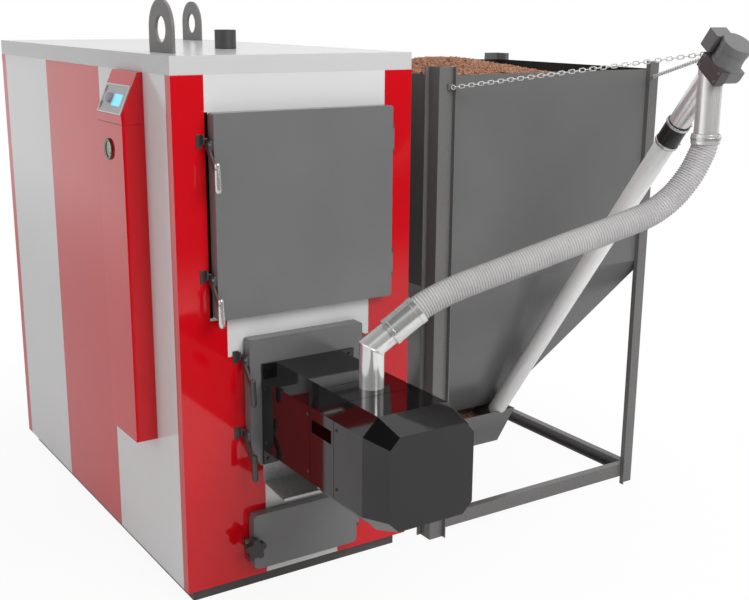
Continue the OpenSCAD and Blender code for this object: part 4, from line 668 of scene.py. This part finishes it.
def make_clamps():
    """A band with a screw housing and a worm screw at each place."""
    sleeve_r, hose_band_r, half = 0.0315, 0.0365, 0.0042
    places = [(AUGER_FOOT + 1.249 * AUGER_AXIS, AUGER_AXIS, AUGER_SIDE, sleeve_r),
              (AUGER_FOOT + 1.313 * AUGER_AXIS, AUGER_AXIS, AUGER_SIDE, sleeve_r),
              (Vector((*DROP, 1.250)), Vector((0, 0, 1)), Vector((1, 0, 0)), hose_band_r)]
    for n, (at, along, out, r) in enumerate(places):
        bm = bmesh.new()
        band = [(half, r - 0.0004), (half, r + 0.0005), (half - 0.0006, r + 0.0011)]
        revolve(bm, at, along, [(-h, q) for h, q in band] + band[::-1], 56, hollow=True)
        box = Matrix.Translation(at) @ Matrix((out, along, out.cross(along))).transposed().to_4x4()
        slab(bm, box, r + 0.0002, r + 0.0092, -0.0052, 0.0052, -0.0090, 0.0090)
        across = out.cross(along)
        revolve(bm, at + out * (r + 0.0052) - across * 0.0135, across, [
            (0, 0.0030), (0.0006, 0.0036), (0.0040, 0.0036), (0.0050, 0.0030), (0.0270, 0.0030)], 20)
        fitted("clamp_band_%d" % n, bm, M["bright_steel"], smooth=40)


make_clamps()


# Gearbox: a flanged housing on the tube and a round-backed gear case beside it, and the chains' hook plates

def make_gearbox():
    """Flanged brown housing, grey case with a rounded back, and four bolts."""
    turn = Matrix((AUGER_SIDE, AUGER_AXIS.cross(AUGER_SIDE), AUGER_AXIS)).transposed()
    at = Matrix.Translation(AUGER_FOOT + 1.487 * AUGER_AXIS) @ turn.to_4x4()
    half, joint, front = 0.0385, -0.0100, 0.0220
    bm = bmesh.new()
    slab(bm, at, -half, joint, -0.0600, front, 0.0060, 0.0460)
    slab(bm, at, -half + 0.0050, joint - 0.0005, -0.0550, front - 0.0050, 0.0, 0.0060)
    housing = fitted("gear_housing", bm, M["gear_paint"])
    bm = bmesh.new()
    outline = [(front, 0.0), (front, 0.0445), (-0.0590, 0.0445)]
    outline += [(-0.0400 - 0.0190 * math.cos(a), 0.0240 - 0.0240 * math.sin(a))
                for a in (math.radians(9 * k) for k in range(11))]
    loops = [[bm.verts.new(at @ Vector((x, y, z))) for y, z in outline] for x in (joint, half)]
    skin(bm, loops, caps=True)
    bmesh.ops.recalc_face_normals(bm, faces=bm.faces)
    fitted("gear_case", bm, M["motor_grey"], smooth=35)
    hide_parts("gearbox")
    bm = bmesh.new()
    for y in (-0.0520, 0.0140):
        for z in (0.0130, 0.0390):
            revolve(bm, at @ Vector((-half, y, z)), -AUGER_SIDE, [
                (-0.0003, 0.0042), (0.0004, 0.0042), (0.0006, 0.0034), (0.0014, 0.0033), (0.0016, 0.0026),
                (0.0008, 0.0022)], 6)
    fitted("gear_bolts", bm, M["motor_grey"])


def make_hook_plates():
    """A small plate on each front post behind the chain's hook."""
    bm = bmesh.new()
    half = 0.0085
    for x, z in ((466, 1355), (1244, 1366)):
        at = Matrix.Translation(mm(x, -20, z))
        slab(bm, at, -half, half, -0.0052, -0.0002, -half, half)
    fitted("hook_plates", bm, M["post_paint"])


def make_door_gap():
    """Painted shadow: a dark strip on the front sheet, in the gap between the red trim and the upper door."""
    bm = bmesh.new()
    # painted shadow in the door's gap
    slab(bm, Matrix.Translation(mm(0, 0, 0)), -0.2640, -0.2560, -0.0012, 0.0002, 0.7930, 1.3140)
    fitted("door_gap_painted_shadow", bm, M["dark_seam_and_gap_shadow"])


def make_hopper_inside():
    """Painted shade: near-black sheets on the four inner faces of the hopper's upright walls."""
    bm = bmesh.new()
    at = Matrix.Translation(mm(430, -20, 0))
    width, depth, near, t = 0.850, 0.800, 0.0055, 0.0003
    low, high = 1.30, 1.3865
    right, back = width - near, depth - near
    for x0, x1, y0, y1 in ((near, right, back - t, back), (near, right, near, near + t),
                           (near, near + t, near + t, back - t), (right - t, right, near + t, back - t)):
        slab(bm, at, x0, x1, y0, y1, low, high)
    fitted("hopper_inside_painted_shade", bm, M["hopper_inside_painted_shade"])


make_gearbox()
make_hopper_inside()
make_hook_plates()
make_door_gap()


# Pellets: loose pieces over the heap and in the trough

HEAP_AT, HEAP_Z, HEAP_FLAT, HEAP_SLOPE = (640, 250), 1416, 60, math.radians(9)
TROUGH_LEVEL = 175


def heap_height(x, y):
    """Height of the heap's surface, in millimetres."""
    from_top = math.hypot(x - HEAP_AT[0], y - HEAP_AT[1])
    return HEAP_Z - max(0.0, from_top - HEAP_FLAT) * math.tan(HEAP_SLOPE)


def scatter(bm, rng, x, y, z, tilt=0.45):
    """One pellet, a six-sided rod of random heading and length."""
    yaw = rng.uniform(0, math.pi)
    along = Vector((math.cos(yaw), math.sin(yaw), rng.uniform(-tilt, tilt))).normalized()
    side = along.cross(Vector((0, 0, 1))).normalized()
    up = side.cross(along)
    half, r = rng.uniform(0.005, 0.011), 0.0031
    at = mm(x, y, z)
    rings = [[bm.verts.new(at + along * h + r * (side * math.cos(a) + up * math.sin(a)))
              for a in (2 * math.pi * i / 6 for i in range(6))] for h in (-half, half)]
    skin(bm, rings, caps=True)


def make_pellets():
    """Pellets over the whole heap between the hopper's walls, and in the trough."""
    rng = random.Random(7)
    bm = bmesh.new()
    for count, x_range, y_range, level in ((9000, (448, 1262), (-2, 762), heap_height),
                                           (420, (786, 924), (268, 420), lambda x, y: TROUGH_LEVEL)):
        for _ in range(count):
            x, y = rng.uniform(*x_range), rng.uniform(*y_range)
            scatter(bm, rng, x, y, level(x, y) + rng.uniform(-1.0, 3.5))
    bmesh.ops.recalc_face_normals(bm, faces=bm.faces)
    fitted("loose_pellets", bm, M["pellet_loose"])


make_pellets()


# Stage: pale floor, soft lamps and a white surround

def blended(tree, factor, a, b):
    """A shader from a to b by a factor that is a number or a socket."""
    mix = tree.nodes.new("ShaderNodeMixShader")
    if isinstance(factor, bpy.types.NodeSocket):
        tree.links.new(factor, mix.inputs["Fac"])
    else:
        mix.inputs["Fac"].default_value = factor
    tree.links.new(a, mix.inputs[1])
    tree.links.new(b, mix.inputs[2])
    return mix.outputs[0]


def for_ray(tree, ray, plain, chosen):
    """The plain shader, or the chosen one for one kind of ray."""
    path = tree.nodes.new("ShaderNodeLightPath")
    return blended(tree, path.outputs[ray], plain, chosen)


def emission(tree, strength):
    """A white glow."""
    n = tree.nodes.new("ShaderNodeEmission")
    n.inputs["Strength"].default_value = strength
    return n.outputs[0]


def axis_of(tree, coords, axis):
    """One axis of a vector."""
    n = tree.nodes.new("ShaderNodeSeparateXYZ")
    tree.links.new(coords, n.inputs["Vector"])
    return n.outputs[axis]


def make_floor():
    """Lit floor that keeps the shadow and runs out to white. Gloss sees it brighter far left and dark far in front."""
    mat, tree, out = node_tree("stage_floor")
    tree.nodes.remove(out)
    coords = tree.nodes.new("ShaderNodeTexCoord").outputs["Object"]
    diffuse = tree.nodes.new("ShaderNodeBsdfDiffuse")
    tree.links.new(mixed(tree, remap(tree, noise(tree, coords, 1.5), 0, 1), (0.84, 0.84, 0.84), (0.86, 0.86, 0.86)),
                   diffuse.inputs["Color"])
    soft = diffuse.outputs[0]
    white = emission(tree, 1.0)
    # seen in gloss: from left to right, then from front to back
    to_left = remap(tree, axis_of(tree, coords, "X"), 1.0, 0.0, -2.8, -0.9, ease="SMOOTHSTEP")
    to_back = remap(tree, axis_of(tree, coords, "Y"), 0.0, 1.0, -5.0, -3.0, ease="SMOOTHSTEP")
    near = blended(tree, 0.35, soft, white)
    shine = blended(tree, to_back, emission(tree, 0.08), blended(tree, to_left, near, emission(tree, 1.15)))
    # seen by the camera: white further out
    far = tree.nodes.new("ShaderNodeVectorMath")
    far.operation = "LENGTH"
    tree.links.new(coords, far.inputs[0])
    outward = remap(tree, far.outputs["Value"], 0.92, 1.0, 0.6, 2.2, ease="SMOOTHSTEP")
    surface = for_ray(tree, "Is Camera Ray", soft, blended(tree, outward, soft, white))
    surface = for_ray(tree, "Is Glossy Ray", surface, shine)
    surface = for_ray(tree, "Is Transmission Ray", surface, white)
    tree.links.new(surface, tree.nodes["Material Output"].inputs["Surface"])
    bm = bmesh.new()
    bmesh.ops.create_grid(bm, x_segments=2, y_segments=2, size=30)
    floor = piece("floor", bm, mat)
    floor.location = (0.0, 0, -0.0005)


def make_world():
    """White for the camera, an even fill for the surfaces, and for gloss a bright room with one dark patch."""
    world = bpy.data.worlds.new("surround")
    scene.world = world
    world.use_nodes = True
    tree = world.node_tree
    tree.nodes.clear()

    def sky(strength):
        n = tree.nodes.new("ShaderNodeBackground")
        n.inputs["Color"].default_value = (1, 1, 1, 1)
        if isinstance(strength, bpy.types.NodeSocket):
            tree.links.new(strength, n.inputs["Strength"])
        else:
            n.inputs["Strength"].default_value = strength
        return n.outputs[0]

    direction = tree.nodes.new("ShaderNodeTexCoord").outputs["Generated"]
    to_patch = dot_product(tree, direction, (-0.50, 0.10, 0.86))
    patch = remap(tree, to_patch, 1.0, 0.02, 0.75, 0.92, ease="SMOOTHSTEP")
    front = remap(tree, axis_of(tree, direction, "Y"), 0.12, 1.0, -0.9, -0.2, ease="SMOOTHSTEP")
    product = tree.nodes.new("ShaderNodeMath")
    product.operation = "MULTIPLY"
    tree.links.new(patch, product.inputs[0])
    tree.links.new(front, product.inputs[1])
    surface = for_ray(tree, "Is Glossy Ray", sky(0.42), sky(product.outputs[0]))
    surface = for_ray(tree, "Is Camera Ray", surface, sky(1.0))
    surface = for_ray(tree, "Is Transmission Ray", surface, sky(1.0))
    tree.links.new(surface, tree.nodes.new("ShaderNodeOutputWorld").inputs["Surface"])


def make_lamps():
    """Round area lamps: name, place, aim, diameter and power."""
    for name, at, to, size, power in [
            ("key_lamp", (0.8, -5.0, 3.6), (0.3, -0.4, 0.9), 3.0, 158),
            ("side_lamp", (-5.0, 0.4, 2.6), (-0.2, 0.0, 0.6), 3.0, 30),
            ("top_lamp", (0.5, 0.3, 5.0), (0.3, 0.0, 0.0), 3.5, 46)]:
        data = bpy.data.lights.new(name, "AREA")
        data.shape = "DISK"
        data.size = size
        data.energy = power
        lamp = bpy.data.objects.new(name, data)
        scene.collection.objects.link(lamp)
        lamp.location = at
        lamp.rotation_mode = "QUATERNION"
        lamp.rotation_quaternion = (Vector(to) - Vector(at)).to_track_quat("-Z", "Y")


make_floor()
make_world()
make_lamps()
scene.view_settings.view_transform = "Standard"
